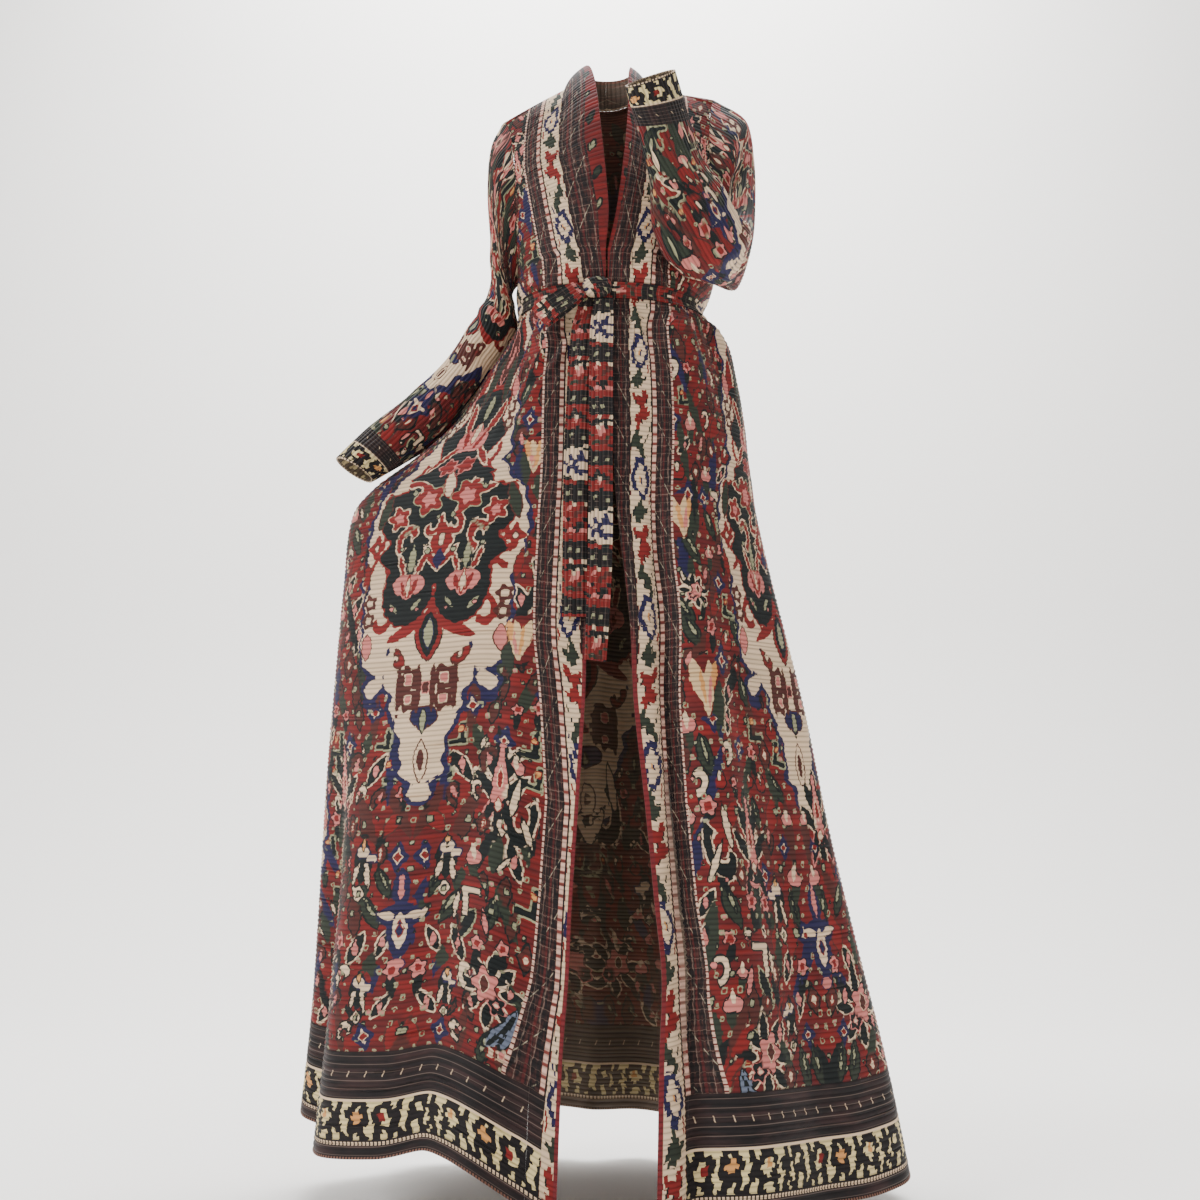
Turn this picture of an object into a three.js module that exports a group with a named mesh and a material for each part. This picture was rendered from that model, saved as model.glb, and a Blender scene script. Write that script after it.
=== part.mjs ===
// A long open-front abaya, worn and tied at the waist: two fronts, a back, two deep drop sleeves,
// a shawl band up both front edges, its collar round the back of the neck, and a belt with a knot,
// one bow loop and two tails.
// Millimetres, +Z up, the wearer faces -Y and the wearer's right is at -X.
// The origin lies between the two shoulder neck points, where the garment hangs from the shoulders.
import * as THREE from 'three';
import { mergeVertices } from 'three/addons/utils/BufferGeometryUtils.js';

const CLOTH = 2; // wall of the crimped cloth
const BELT_CLOTH = 2.4; // the belt is the same cloth, doubled and pressed
const SEAM_GAP = 0.4; // between two pieces that are sewn together
const LENGTH = 1470; // shoulder neck point to hem, along the drop
const WAIST_Z = -350;
const UNDERARM_Z = -295;
const NECK_HALF = 60; // shoulder neck points at x = +-60
const BACK_NECK_DEPTH = 52;
const SIDE_SEAM = 92; // degrees round from the centre front

// Body sections below the underarm. right and left are half widths at -X and +X, front and back are
// depths, squareness is the exponent of the rounded outline on the wearer's right side.
// The wearer's right side is drawn out at z = -600, where the skirt is held away from the legs.
const SECTIONS = [
  { z: -1500, right: 376, left: 364, front: 234, back: 254, squareness: 2.2 },
  { z: -1340, right: 366, left: 336, front: 222, back: 236, squareness: 2.2 },
  { z: -1200, right: 362, left: 305, front: 208, back: 222, squareness: 2.2 },
  { z: -1050, right: 359, left: 274, front: 190, back: 205, squareness: 2.15 },
  { z: -900, right: 356, left: 250, front: 172, back: 186, squareness: 2.05 },
  { z: -740, right: 350, left: 218, front: 152, back: 162, squareness: 1.85 },
  { z: -640, right: 342, left: 200, front: 141, back: 146, squareness: 1.65 },
  { z: -600, right: 314, left: 196, front: 136, back: 138, squareness: 1.6 },
  { z: -560, right: 262, left: 192, front: 131, back: 130, squareness: 1.7 },
  { z: -510, right: 206, left: 188, front: 124, back: 118, squareness: 2.0 },
  { z: -440, right: 162, left: 178, front: 112, back: 104, squareness: 2.2 },
  { z: -385, right: 129, left: 164, front: 100, back: 90, squareness: 2.3 },
  { z: -350, right: 119, left: 130, front: 92, back: 80, squareness: 2.3 },
  { z: -325, right: 125, left: 141, front: 104, back: 88, squareness: 2.3 },
  { z: -295, right: 123, left: 150, front: 105, back: 90, squareness: 2.3 },
  { z: -250, right: 126, left: 152, front: 103, back: 90, squareness: 2.3 },
];

// The free front edges: x of the right and the left one at each height.
const FRONT_EDGES = [
  { z: -1500, right: -57, left: 50 },
  { z: -1300, right: -50, left: 56 },
  { z: -1217, right: -44, left: 60 },
  { z: -1140, right: -41, left: 53 },
  { z: -1027, right: -34, left: 43 },
  { z: -907, right: -27, left: 31 },
  { z: -807, right: -24, left: 27 },
  { z: -650, right: -8, left: 11 },
  { z: -513, right: -3, left: 6 },
  { z: -350, right: -1.5, left: 1.5 },
  { z: -250, right: -1.5, left: 1.5 },
];

// How far the hem hangs above (+) or below (-) the nominal length, round the garment in degrees
// from the centre front, the wearer's left positive. The right side is lifted where it is held.
const HEM_LIFT = [
  { angle: -180, lift: 45 },
  { angle: -130, lift: 62 },
  { angle: -96, lift: 94 },
  { angle: -82, lift: 74 },
  { angle: -70, lift: 50 },
  { angle: -56, lift: 50 },
  { angle: -46, lift: 62 },
  { angle: -34, lift: 46 },
  { angle: -24, lift: 16 },
  { angle: -13, lift: -10 },
  { angle: 13, lift: -12 },
  { angle: 36, lift: 2 },
  { angle: 64, lift: 4 },
  { angle: 90, lift: 32 },
  { angle: 125, lift: 36 },
  { angle: 180, lift: 45 },
];

// Vertical folds. depth is a ridge (+) or a trough (-), and it grows from top to full and is gone at end.
const FOLDS = [
  { angle: 25, width: 5, depth: -24, top: -420, full: -950, end: -9999 },
  { angle: 38, width: 6.5, depth: 11, top: -470, full: -1000, end: -9999 },
  { angle: 57, width: 7, depth: -15, top: -620, full: -1300, end: -9999 },
  { angle: 74, width: 6, depth: 12, top: -420, full: -1050, end: -9999 },
  { angle: 30, width: 6, depth: -9, top: -366, full: -398, end: -560 },
  { angle: 50, width: 6, depth: 7, top: -366, full: -400, end: -540 },
  { angle: 66, width: 6, depth: -9, top: -366, full: -398, end: -580 },
  { angle: 98, width: 6, depth: -13, top: -400, full: -1000, end: -9999 },
  { angle: 113, width: 6, depth: 13, top: -400, full: -1000, end: -9999 },
  { angle: 128, width: 5.5, depth: -17, top: -380, full: -900, end: -9999 },
  { angle: 143, width: 6, depth: 15, top: -380, full: -1100, end: -9999 },
  { angle: 157, width: 5, depth: -19, top: -370, full: -1000, end: -9999 },
  { angle: 171, width: 6, depth: 14, top: -370, full: -900, end: -9999 },
  { angle: -175, width: 5, depth: -16, top: -370, full: -1050, end: -9999 },
  { angle: -160, width: 6.5, depth: 15, top: -370, full: -1000, end: -9999 },
  { angle: -145, width: 5.5, depth: -18, top: -380, full: -900, end: -9999 },
  { angle: -131, width: 6, depth: 12, top: -380, full: -1100, end: -9999 },
  { angle: -116, width: 5.5, depth: -16, top: -420, full: -950, end: -9999 },
  { angle: -100, width: 5, depth: 12, top: -700, full: -1200, end: -9999 },
  { angle: -78, width: 4, depth: -30, top: -880, full: -1330, end: -9999 },
  { angle: -66, width: 5, depth: 12, top: -850, full: -1300, end: -9999 },
  { angle: -49, width: 6.5, depth: -14, top: -780, full: -1250, end: -9999 },
  { angle: -32, width: 6, depth: 9, top: -640, full: -1200, end: -9999 },
  { angle: -24, width: 6, depth: -9, top: -366, full: -400, end: -640 },
  { angle: -42, width: 6, depth: 8, top: -366, full: -410, end: -620 },
  { angle: -60, width: 7, depth: -12, top: -366, full: -430, end: -660 },
];

// The band's free edge seen from its seam: inward is towards the centre, back is +Y, up is +Z.
// angle runs over the shoulder, from the underarm level (0) to the shoulder neck point (90).
const BAND_WIDTH = 34;
const BAND_RIGHT = [
  { angle: 0, inward: 34.5, back: 0, up: 0 },
  { angle: 12, inward: 47, back: -9, up: 4 },
  { angle: 40, inward: 49, back: -12, up: 22 },
  { angle: 65, inward: 40, back: -4, up: 36 },
  { angle: 90, inward: 25, back: 5, up: 43 },
];
const BAND_LEFT = [
  { angle: 0, inward: 34.5, back: 0, up: 0 },
  { angle: 12, inward: 31, back: -2, up: 4 },
  { angle: 40, inward: 30, back: 4, up: 26 },
  { angle: 65, inward: 28, back: 6, up: 38 },
  { angle: 90, inward: 22, back: 8, up: 43 },
];
const BAND_BACK = { inward: 0, back: -8, up: 45 }; // at the centre back

// Sleeve rings after the armhole. outer and inner are the two ends of a ring across the arm, front is
// half of its depth towards the front, and rear is the back half as a share of that. at runs 0 to 1.
const SLEEVE_RIGHT = [
  { at: 0.0, outer: [-151, 0, -47], inner: [-123, 0, -295], front: [0, -46, 0], rear: 1 },
  { at: 0.1, outer: [-165, 2, -84], inner: [-130, 3, -303], front: [0, -48, 0], rear: 1 },
  { at: 0.2, outer: [-169, 5, -150], inner: [-133, 5, -315], front: [0, -48, 0], rear: 1 },
  { at: 0.3, outer: [-165, 9, -215], inner: [-128.5, 6, -331], front: [-2, -46, 0], rear: 1 },
  { at: 0.4, outer: [-164, 12, -272], inner: [-125, 4, -350], front: [-4, -44, -1], rear: 1 },
  { at: 0.48, outer: [-167, 14, -320], inner: [-128, 0, -373], front: [-8, -42, -1], rear: 1 },
  { at: 0.56, outer: [-187, 12, -355], inner: [-145, -5, -408], front: [-8, -41, 0], rear: 1 },
  { at: 0.66, outer: [-217, 6, -408], inner: [-181, -8, -461], front: [-5, -40, 1], rear: 1 },
  { at: 0.76, outer: [-266, -2, -464], inner: [-224.5, -8, -522], front: [-4, -38, 2], rear: 1 },
  { at: 0.88, outer: [-322, -16, -518], inner: [-276, -22, -564], front: [-3, -35, 3], rear: 1 },
  { at: 1.0, outer: [-361, -28, -566], inner: [-314, -34, -591], front: [-3, -33, 3], rear: 1 },
];
const SLEEVE_LEFT = [
  { at: 0.0, outer: [159, 0, -12], inner: [151, 0, -295], front: [0, -46, 0], rear: 1 },
  { at: 0.1, outer: [200, -4, -44], inner: [166, 0, -303], front: [-12, -44, 0], rear: 0.9 },
  { at: 0.2, outer: [206, -16, -96], inner: [173, -14, -312], front: [-22, -38, 0], rear: 0.7 },
  { at: 0.3, outer: [201, -36, -160], inner: [173, -38, -322], front: [-30, -32, 0], rear: 0.55 },
  { at: 0.4, outer: [194, -62, -222], inner: [160, -68, -331], front: [-36, -22, 2], rear: 0.5 },
  { at: 0.5, outer: [184, -90, -248], inner: [130, -100, -341], front: [-34, -6, 8], rear: 0.7 },
  { at: 0.6, outer: [168, -106, -238], inner: [86, -126, -332], front: [-24, 14, 18], rear: 1 },
  { at: 0.7, outer: [152, -120, -208], inner: [60, -150, -284], front: [-10, 26, 22], rear: 1 },
  { at: 0.8, outer: [126, -148, -186], inner: [52, -176, -222], front: [0, 28, 22], rear: 1 },
  { at: 0.9, outer: [108, -182, -156], inner: [38, -204, -178], front: [2, 26, 20], rear: 1 },
  { at: 1.0, outer: [87, -214, -101], inner: [23, -226, -132], front: [2, 22, 18], rear: 1 },
];
const SLEEVE_HEAD = 0.16; // over this part of its length a sleeve settles from the armhole to its rings
const SLOPE = { right: 0.55, left: 0.12 }; // fall of each shoulder per unit of width
const SHOULDER = { right: 150, left: 158 }; // x of each shoulder point
const ARMHOLE_SCOOP = 11;

// Belt: a flat tube of cloth tied at the front, left of centre as one looks at it.
const BELT = { height: 20, stand: 0.9, knot: new THREE.Vector3(-13, -108.3, -351) };
const KNOT = { width: 38, depth: 22, height: 28 };
const LOOP = { length: 70, width: 31, thick: 9, from: [-33.8, -111.6, -355], to: [-90, -117, -400] };
const TAIL_WIDTH = 30;
const TAIL_RIGHT = [
  { z: -363.9, x: -22, stand: 7, turn: 0 },
  { z: -420, x: -32, stand: 5.5, turn: -4 },
  { z: -585, x: -39, stand: 5, turn: 0 },
  { z: -700, x: -40, stand: 5.5, turn: 5 },
  { z: -806, x: -40, stand: 6, turn: 2 },
];
const TAIL_LEFT = [
  { z: -365.5, x: -4, stand: 12, turn: 0 },
  { z: -420, x: -7, stand: 11, turn: 3 },
  { z: -585, x: -8, stand: 10, turn: -3 },
  { z: -730, x: -9, stand: 11, turn: 8 },
  { z: -862, x: -14, stand: 13, turn: 34 },
];

const RAD = Math.PI / 180;
const CARPET_RED = 0x8e3430;
const BAND_GREY = 0x4a3f3c;

const clamp01 = (t) => Math.min(1, Math.max(0, t));
const smooth = (t) => {
  const c = clamp01(t);
  return c * c * (3 - 2 * c);
};

// A smooth curve through one column of a table, by the table's key column.
function along(table, key, column, value) {
  const rising = table[1][key] > table[0][key];
  const last = table.length - 1;
  let i = 0;
  while (i < last - 1 && (rising ? value > table[i + 1][key] : value < table[i + 1][key])) i += 1;
  const span = table[i + 1][key] - table[i][key];
  const t = clamp01((value - table[i][key]) / span);
  const slope = (k) => {
    const a = Math.max(0, k - 1);
    const b = Math.min(last, k + 1);
    return ((table[b][column] - table[a][column]) / (table[b][key] - table[a][key])) * span;
  };
  const [p0, p1, m0, m1] = [table[i][column], table[i + 1][column], slope(i), slope(i + 1)];
  const t2 = t * t;
  const t3 = t2 * t;
  return (2 * t3 - 3 * t2 + 1) * p0 + (t3 - 2 * t2 + t) * m0 + (3 * t2 - 2 * t3) * p1 + (t3 - t2) * m1;
}

const wrapped = (angle) => ((((angle + 180) % 360) + 360) % 360) - 180;

function foldDepth(angle, z) {
  let sum = 0;
  for (const fold of FOLDS) {
    const off = wrapped(angle - fold.angle) / fold.width;
    if (Math.abs(off) > 3) continue;
    const grown = smooth((fold.top - z) / (fold.top - fold.full));
    const left = 1 - smooth((fold.full - z) / (fold.full - fold.end));
    sum += fold.depth * grown * left * Math.exp(-off * off);
  }
  return sum;
}

// The body below the underarm: a rounded section at height z, in the direction of angle.
function ring(angle, z) {
  const side = wrapped(angle);
  const front = Math.abs(side) < 90;
  const sin = Math.abs(Math.sin(side * RAD));
  const cos = Math.abs(Math.cos(side * RAD));
  const width = along(SECTIONS, 'z', side < 0 ? 'right' : 'left', z);
  const depth = along(SECTIONS, 'z', front ? 'front' : 'back', z);
  const power = side < 0 ? along(SECTIONS, 'z', 'squareness', z) : 2.2;
  const reach = ((sin / width) ** power + (cos / depth) ** power) ** (-1 / power) + foldDepth(side, z);
  const hang = clamp01((WAIST_Z - z) / (LENGTH + WAIST_Z)) ** 2;
  const lift = along(HEM_LIFT, 'angle', 'lift', side) * hang;
  return new THREE.Vector3(reach * Math.sin(side * RAD), -reach * Math.cos(side * RAD), z + lift);
}

// The direction in which the section at height z has a given x on its front.
function angleAt(x, z) {
  let angle = 0;
  for (let i = 0; i < 12; i += 1) {
    const reach = Math.hypot(ring(angle, z).x, ring(angle, z).y);
    angle = Math.asin(Math.max(-0.9, Math.min(0.9, x / reach))) / RAD;
  }
  return angle;
}

// The body above the underarm: each column of x arches over the shoulder as over goes from 0 to 90.
function shoulderArch(x, over, back) {
  const side = x < 0 ? 'right' : 'left';
  const sin = Math.sin(over * RAD);
  const cos = Math.cos(over * RAD);
  const start = along(SECTIONS, 'z', side, UNDERARM_Z);
  const width = start + (SHOULDER[side] + 6 - start) * sin;
  const depth = along(SECTIONS, 'z', back ? 'back' : 'front', UNDERARM_Z);
  const power = 2.25;
  const base = depth * (1 - Math.min(1, Math.abs(x) / width) ** power) ** (1 / power);
  const inNeck = Math.max(0, 1 - (x / NECK_HALF) ** 2);
  const topY = back ? BACK_NECK_DEPTH * inNeck : 0;
  const topZ = 4 * inNeck - SLOPE[side] * Math.max(0, Math.abs(x) - NECK_HALF);
  const y = topY + (base - topY) * cos;
  return new THREE.Vector3(x, back ? y : -y, UNDERARM_Z + (topZ - UNDERARM_Z) * sin);
}

const armholeX = (side, over) => {
  const start = along(SECTIONS, 'z', side, UNDERARM_Z);
  const sin = Math.sin(over * RAD);
  return start + (SHOULDER[side] - start) * sin - ARMHOLE_SCOOP * Math.sin(2 * over * RAD);
};
const neckX = (over) => 36 + (NECK_HALF - 36) * Math.sin(Math.min(1, over / 50) * 90 * RAD);

// One wall of cloth: outer(u, v) and its inner side CLOTH away, closed along every free edge.
// normal(u, v) points out of the garment. With loop, u runs once round and joins up.
function wall({ us, vs, outer, normal, thickness = CLOTH, loop = false }) {
  const positions = [];
  const index = [];
  const columns = us.length;
  const rows = vs.length;
  for (const inward of [0, thickness]) {
    for (const v of vs) {
      for (const u of us) {
        const point = outer(u, v);
        if (inward) point.addScaledVector(normal(u, v), -inward);
        positions.push(point.x, point.y, point.z);
      }
    }
  }
  const at = (i, j, layer) => layer * columns * rows + j * columns + (i % columns);
  const quad = (a, b, c, d) => index.push(a, b, c, a, c, d);
  const cells = loop ? columns : columns - 1;
  for (let j = 0; j < rows - 1; j += 1) {
    for (let i = 0; i < cells; i += 1) {
      quad(at(i, j, 0), at(i + 1, j, 0), at(i + 1, j + 1, 0), at(i, j + 1, 0));
      quad(at(i, j, 1), at(i, j + 1, 1), at(i + 1, j + 1, 1), at(i + 1, j, 1));
    }
  }
  for (let i = 0; i < cells; i += 1) {
    quad(at(i, 0, 1), at(i + 1, 0, 1), at(i + 1, 0, 0), at(i, 0, 0));
    quad(at(i, rows - 1, 0), at(i + 1, rows - 1, 0), at(i + 1, rows - 1, 1), at(i, rows - 1, 1));
  }
  if (!loop) {
    for (let j = 0; j < rows - 1; j += 1) {
      quad(at(0, j, 0), at(0, j + 1, 0), at(0, j + 1, 1), at(0, j, 1));
      quad(at(cells, j, 1), at(cells, j + 1, 1), at(cells, j + 1, 0), at(cells, j, 0));
    }
  }
  const geometry = new THREE.BufferGeometry();
  geometry.setAttribute('position', new THREE.BufferAttribute(new Float32Array(positions), 3));
  geometry.setIndex(index);
  return facingOut(mergeVertices(geometry, 1e-4));
}

// Turns every face round if the closed geometry has negative volume.
function facingOut(geometry) {
  const p = geometry.getAttribute('position');
  const index = geometry.index.array;
  const [a, b, c] = [new THREE.Vector3(), new THREE.Vector3(), new THREE.Vector3()];
  let volume = 0;
  for (let i = 0; i < index.length; i += 3) {
    a.fromBufferAttribute(p, index[i]);
    b.fromBufferAttribute(p, index[i + 1]);
    c.fromBufferAttribute(p, index[i + 2]);
    volume += a.dot(b.cross(c));
  }
  if (volume < 0) {
    for (let i = 0; i < index.length; i += 3) [index[i], index[i + 1]] = [index[i + 1], index[i]];
  }
  geometry.computeVertexNormals();
  return geometry;
}

// The normal of a surface from its two slopes, turned towards hint.
function normalOf(surface, p, q, dp, dq, hint) {
  const a = surface(p + dp, q).sub(surface(p - dp, q));
  const b = surface(p, q + dq).sub(surface(p, q - dq));
  const n = a.cross(b).normalize();
  return n.dot(hint) < 0 ? n.negate() : n;
}

const spread = (from, to, count) =>
  Array.from({ length: count + 1 }, (_, i) => from + ((to - from) * i) / count);

const SKIRT_ROWS = [-1470, -1425, -1370, -1310, -1250, -1190, -1125, -1060, -995, -930, -865, -800, -745,
  -695, -655, -620, -590, -560, -525, -485, -445, -412, -388, -372, -360, -350, -340, -328, -312];
const ARCH_ROWS = [0, 9, 18, 28, 38, 49, 60, 71, 81, 90];
// Each row is a height below the underarm, or an angle over the shoulder.
const BODY_ROWS = [
  ...SKIRT_ROWS.map((z) => ({ z })),
  ...ARCH_ROWS.map((over) => ({ over })),
];

// One row of a panel as evenly spaced parameters, by arc length, between two ends.
function evenly(curve, from, to, count) {
  const fine = spread(from, to, 60);
  const points = fine.map(curve);
  const lengths = [0];
  for (let i = 1; i < points.length; i += 1) {
    lengths.push(lengths[i - 1] + points[i].distanceTo(points[i - 1]));
  }
  return spread(0, lengths[60], count).map((length) => {
    let i = 0;
    while (i < 59 && lengths[i + 1] < length) i += 1;
    const t = clamp01((length - lengths[i]) / (lengths[i + 1] - lengths[i]));
    return fine[i] + (fine[i + 1] - fine[i]) * t;
  });
}

// Points and normals of a body panel, row by row. ends(row) gives the row's first and last place:
// an angle round the body, or an x over the shoulder.
function bodyPanel({ ends, back, columns }) {
  const grid = BODY_ROWS.map((row) => {
    const arch = row.over !== undefined;
    const over = arch ? Math.min(row.over, 89.8) : 0;
    const curve = arch ? (x) => shoulderArch(x, over, back) : (angle) => ring(angle, row.z);
    const surface = arch
      ? (x, o) => shoulderArch(x, o, back)
      : (angle, z) => ring(angle, z);
    const [from, to] = ends(row);
    return evenly(curve, from, to, columns).map((place) => {
      const point = curve(place);
      const hint = new THREE.Vector3(point.x, point.y, arch ? 120 : 0);
      const normal = normalOf(surface, place, arch ? over : row.z, 0.5, arch ? 0.1 : 1, hint);
      return { point, normal };
    });
  });
  return wall({
    us: spread(0, columns, columns),
    vs: spread(0, grid.length - 1, grid.length - 1),
    outer: (i, j) => grid[j][i].point.clone(),
    normal: (i, j) => grid[j][i].normal,
  });
}

const degreesOf = (gap, z) => gap / 2 / 2.4 / Math.max(60, (-z / LENGTH) * 180 + 60) / RAD;

// The seam where a front meets its band, as an angle round the body.
function seamAngle(side, z) {
  const edge = along(FRONT_EDGES, 'z', side, z);
  return angleAt(edge + (side === 'right' ? -BAND_WIDTH : BAND_WIDTH), z);
}

function front(side) {
  const sign = side === 'right' ? -1 : 1;
  const ends = (row) => {
    if (row.over === undefined) {
      return [seamAngle(side, row.z), sign * (SIDE_SEAM - degreesOf(SEAM_GAP, row.z))];
    }
    return [sign * neckX(row.over), sign * (armholeX(side, row.over) - 0.01)];
  };
  return bodyPanel({ ends, back: false, columns: 13 });
}

function backPanel() {
  const ends = (row) => {
    if (row.over === undefined) {
      const gap = degreesOf(SEAM_GAP, row.z);
      return [SIDE_SEAM + gap, 360 - SIDE_SEAM - gap];
    }
    return [armholeX('left', row.over) - 0.3, 0.3 - armholeX('right', row.over)];
  };
  return bodyPanel({ ends, back: true, columns: 28 });
}

// The band that edges one front from the hem to the neck point, and the collar that carries it on
// to the centre back.
function band(side, collar) {
  const sign = side === 'right' ? -1 : 1;
  const table = side === 'right' ? BAND_RIGHT : BAND_LEFT;
  const stations = [
    ...SKIRT_ROWS.map((z) => ({ z })),
    ...ARCH_ROWS.map((over) => ({ over })),
    ...[0, 0.14, 0.34, 0.56, 0.78, 0.99].map((round) => ({ round })),
  ];
  const seam = SKIRT_ROWS.length + ARCH_ROWS.length; // the collar's first station
  const across = [0, 0.33, 0.66, 1];
  const point = (c, station) => {
    if (station.z !== undefined) {
      const sewn = ring(seamAngle(side, station.z), station.z);
      const start = angleAt(sewn.x - sign * SEAM_GAP, station.z);
      const edge = angleAt(along(FRONT_EDGES, 'z', side, station.z), station.z);
      return ring(start + (edge - start) * c, station.z);
    }
    const over = station.over ?? 90;
    const round = station.round ?? 0;
    const turn = round * 90 * RAD;
    const base = station.round === undefined
      ? shoulderArch(sign * neckX(over), Math.min(over, 89.8), false)
      : shoulderArch(sign * NECK_HALF * Math.cos(turn), 89.8, true);
    base.z += SEAM_GAP * smooth((over - 20) / 30);
    const blend = smooth(round);
    const pick = (column) => along(table, 'angle', column, over) * (1 - blend) + BAND_BACK[column] * blend;
    const free = new THREE.Vector3(-sign * pick('inward') * Math.cos(turn), pick('back'), pick('up'));
    const lean = Math.sin(over * RAD);
    const bulge = new THREE.Vector3(sign * Math.cos(turn) * lean, Math.sin(turn) - (1 - lean), 0.3);
    const bow = 5 * Math.sin(over * RAD * 0.9 + 0.05) * 4 * c * (1 - c);
    const lead = SEAM_GAP / free.length();
    return base.addScaledVector(free, lead + (1 - lead) * c).addScaledVector(bulge, bow);
  };
  const rows = stations.map((station) => across.map((c) => point(c, station)));
  const seamNormal = (at, station) => {
    const hint = new THREE.Vector3(at.x, at.y, station.z === undefined ? 120 : 0);
    if (station.z !== undefined) return normalOf(ring, angleAt(at.x, station.z), station.z, 0.5, 1, hint);
    const over = Math.min(station.over ?? 90, 89.8);
    return normalOf((x, o) => shoulderArch(x, o, false), at.x, over, 0.5, 0.1, hint);
  };
  const normalAt = (i, j) => {
    const { z, over } = stations[j];
    if (z !== undefined || (i === 0 && over < 20)) return seamNormal(rows[j][i], stations[j]);
    const joint = j === seam || j === seam - 1;
    const [low, high] = joint ? [seam - 2, seam + 1] : [Math.max(0, j - 1), Math.min(rows.length - 1, j + 1)];
    const level = joint ? seam - 1 : j;
    const a = rows[level][Math.min(3, i + 1)].clone().sub(rows[level][Math.max(0, i - 1)]);
    const b = rows[high][i].clone().sub(rows[low][i]);
    const n = a.cross(b).normalize();
    return sign > 0 ? n.negate() : n;
  };
  const [first, last] = collar ? [seam, rows.length - 1] : [0, seam - 1];
  return wall({
    us: [0, 1, 2, 3],
    vs: spread(first, last, last - first),
    outer: (i, j) => rows[j][i].clone(),
    normal: normalAt,
  });
}

// The sleeve: it leaves the armhole level with the body, then follows the rings of its table.
function sleeve(side) {
  const sign = side === 'right' ? -1 : 1;
  const flat = (side === 'right' ? SLEEVE_RIGHT : SLEEVE_LEFT).map(({ at, outer, inner, front: f, rear }) => ({
    at, rear, ox: outer[0], oy: outer[1], oz: outer[2], ix: inner[0], iy: inner[1], iz: inner[2],
    fx: f[0], fy: f[1], fz: f[2],
  }));
  const vector = (prefix, at) => new THREE.Vector3(
    ...['x', 'y', 'z'].map((axis) => along(flat, 'at', prefix + axis, at)),
  );
  const ringPoint = (turn, at) => {
    const [outer, inner, ahead] = [vector('o', at), vector('i', at), vector('f', at)];
    const middle = outer.clone().add(inner).multiplyScalar(0.5);
    const half = outer.sub(inner).multiplyScalar(0.5);
    const depth = Math.sin(turn) < 0 ? along(flat, 'at', 'rear', at) : 1;
    return middle.addScaledVector(half, Math.cos(turn)).addScaledVector(ahead, depth * Math.sin(turn));
  };
  const surface = (turn, at) => {
    const over = Math.asin(Math.min(1, (1 + Math.cos(turn)) / 2)) / RAD;
    const x = sign * armholeX(side, over);
    const hole = shoulderArch(x, over, Math.sin(turn) < 0);
    hole.x += sign * SEAM_GAP;
    const settle = hole.sub(ringPoint(turn, 0)).multiplyScalar(1 - smooth(at / SLEEVE_HEAD));
    return ringPoint(turn, at).add(settle);
  };
  const centre = (at) => vector('o', at).add(vector('i', at)).multiplyScalar(0.5);
  const turns = spread(0, 2 * Math.PI, 18).slice(0, -1);
  const places = [0, 0.03, 0.07, 0.12, 0.17, 0.22, 0.28, 0.34, 0.4, 0.46, 0.52, 0.58, 0.64, 0.7, 0.76, 0.82,
    0.88, 0.94, 1];
  return wall({
    us: turns,
    vs: places,
    loop: true,
    outer: surface,
    normal: (turn, at) => {
      const hint = surface(turn, at).sub(centre(at));
      const n = normalOf(surface, turn, Math.min(0.999, Math.max(0.001, at)), 0.02, 0.001, hint);
      return at === 0 ? n.setX(0).normalize() : n;
    },
  });
}

function belt() {
  const surface = (angle, z) => {
    const at = ring(angle, z);
    const reach = Math.hypot(at.x, at.y);
    return new THREE.Vector3(at.x, at.y, 0)
      .multiplyScalar((reach + BELT.stand + BELT_CLOTH) / reach)
      .setZ(z);
  };
  const half = BELT.height / 2;
  return wall({
    us: spread(-180, 180, 48).slice(0, -1),
    vs: [-1, 0, 1].map((t) => WAIST_Z + t * half),
    loop: true,
    thickness: BELT_CLOTH,
    outer: surface,
    normal: (angle, z) => surface(angle, z).setZ(0).normalize(),
  });
}

function knot() {
  const geometry = new THREE.SphereGeometry(0.5, 16, 10);
  const p = geometry.getAttribute('position');
  const soften = (t) => Math.sign(t) * Math.abs(t * 2) ** 0.8 / 2;
  for (let i = 0; i < p.count; i += 1) {
    p.setXYZ(i, soften(p.getX(i)) * KNOT.width, soften(p.getZ(i)) * KNOT.depth, soften(p.getY(i)) * KNOT.height);
  }
  geometry.deleteAttribute('normal');
  geometry.deleteAttribute('uv');
  return facingOut(mergeVertices(geometry, 1e-3).translate(BELT.knot.x, BELT.knot.y, BELT.knot.z));
}

const blunt = (t) => Math.sign(t) * Math.abs(t) ** 0.75;

// The bow's loop: a strip of belt that leaves the knot, turns at its tip and comes back.
function bowLoop() {
  const from = new THREE.Vector3(...LOOP.from);
  const out = new THREE.Vector3(...LOOP.to).sub(from).normalize();
  const ahead = new THREE.Vector3(0, -1, 0).addScaledVector(out, out.y).normalize();
  const wide = out.clone().cross(ahead).normalize();
  const surface = (turn, v) => from.clone()
    .addScaledVector(out, (LOOP.length / 2) * (1 - blunt(Math.cos(turn))))
    .addScaledVector(ahead, LOOP.thick * blunt(Math.sin(turn)))
    .addScaledVector(wide, v * LOOP.width * (0.62 + 0.38 * Math.sin(turn / 2)));
  return wall({
    us: spread(0, 2 * Math.PI, 24).slice(0, -1),
    vs: [-0.5, -0.17, 0.17, 0.5],
    loop: true,
    thickness: BELT_CLOTH,
    outer: surface,
    normal: (turn, v) => normalOf(surface, turn, v, 0.02, 0.02, surface(turn, v)
      .sub(from).addScaledVector(out, -LOOP.length / 2)),
  });
}

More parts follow.
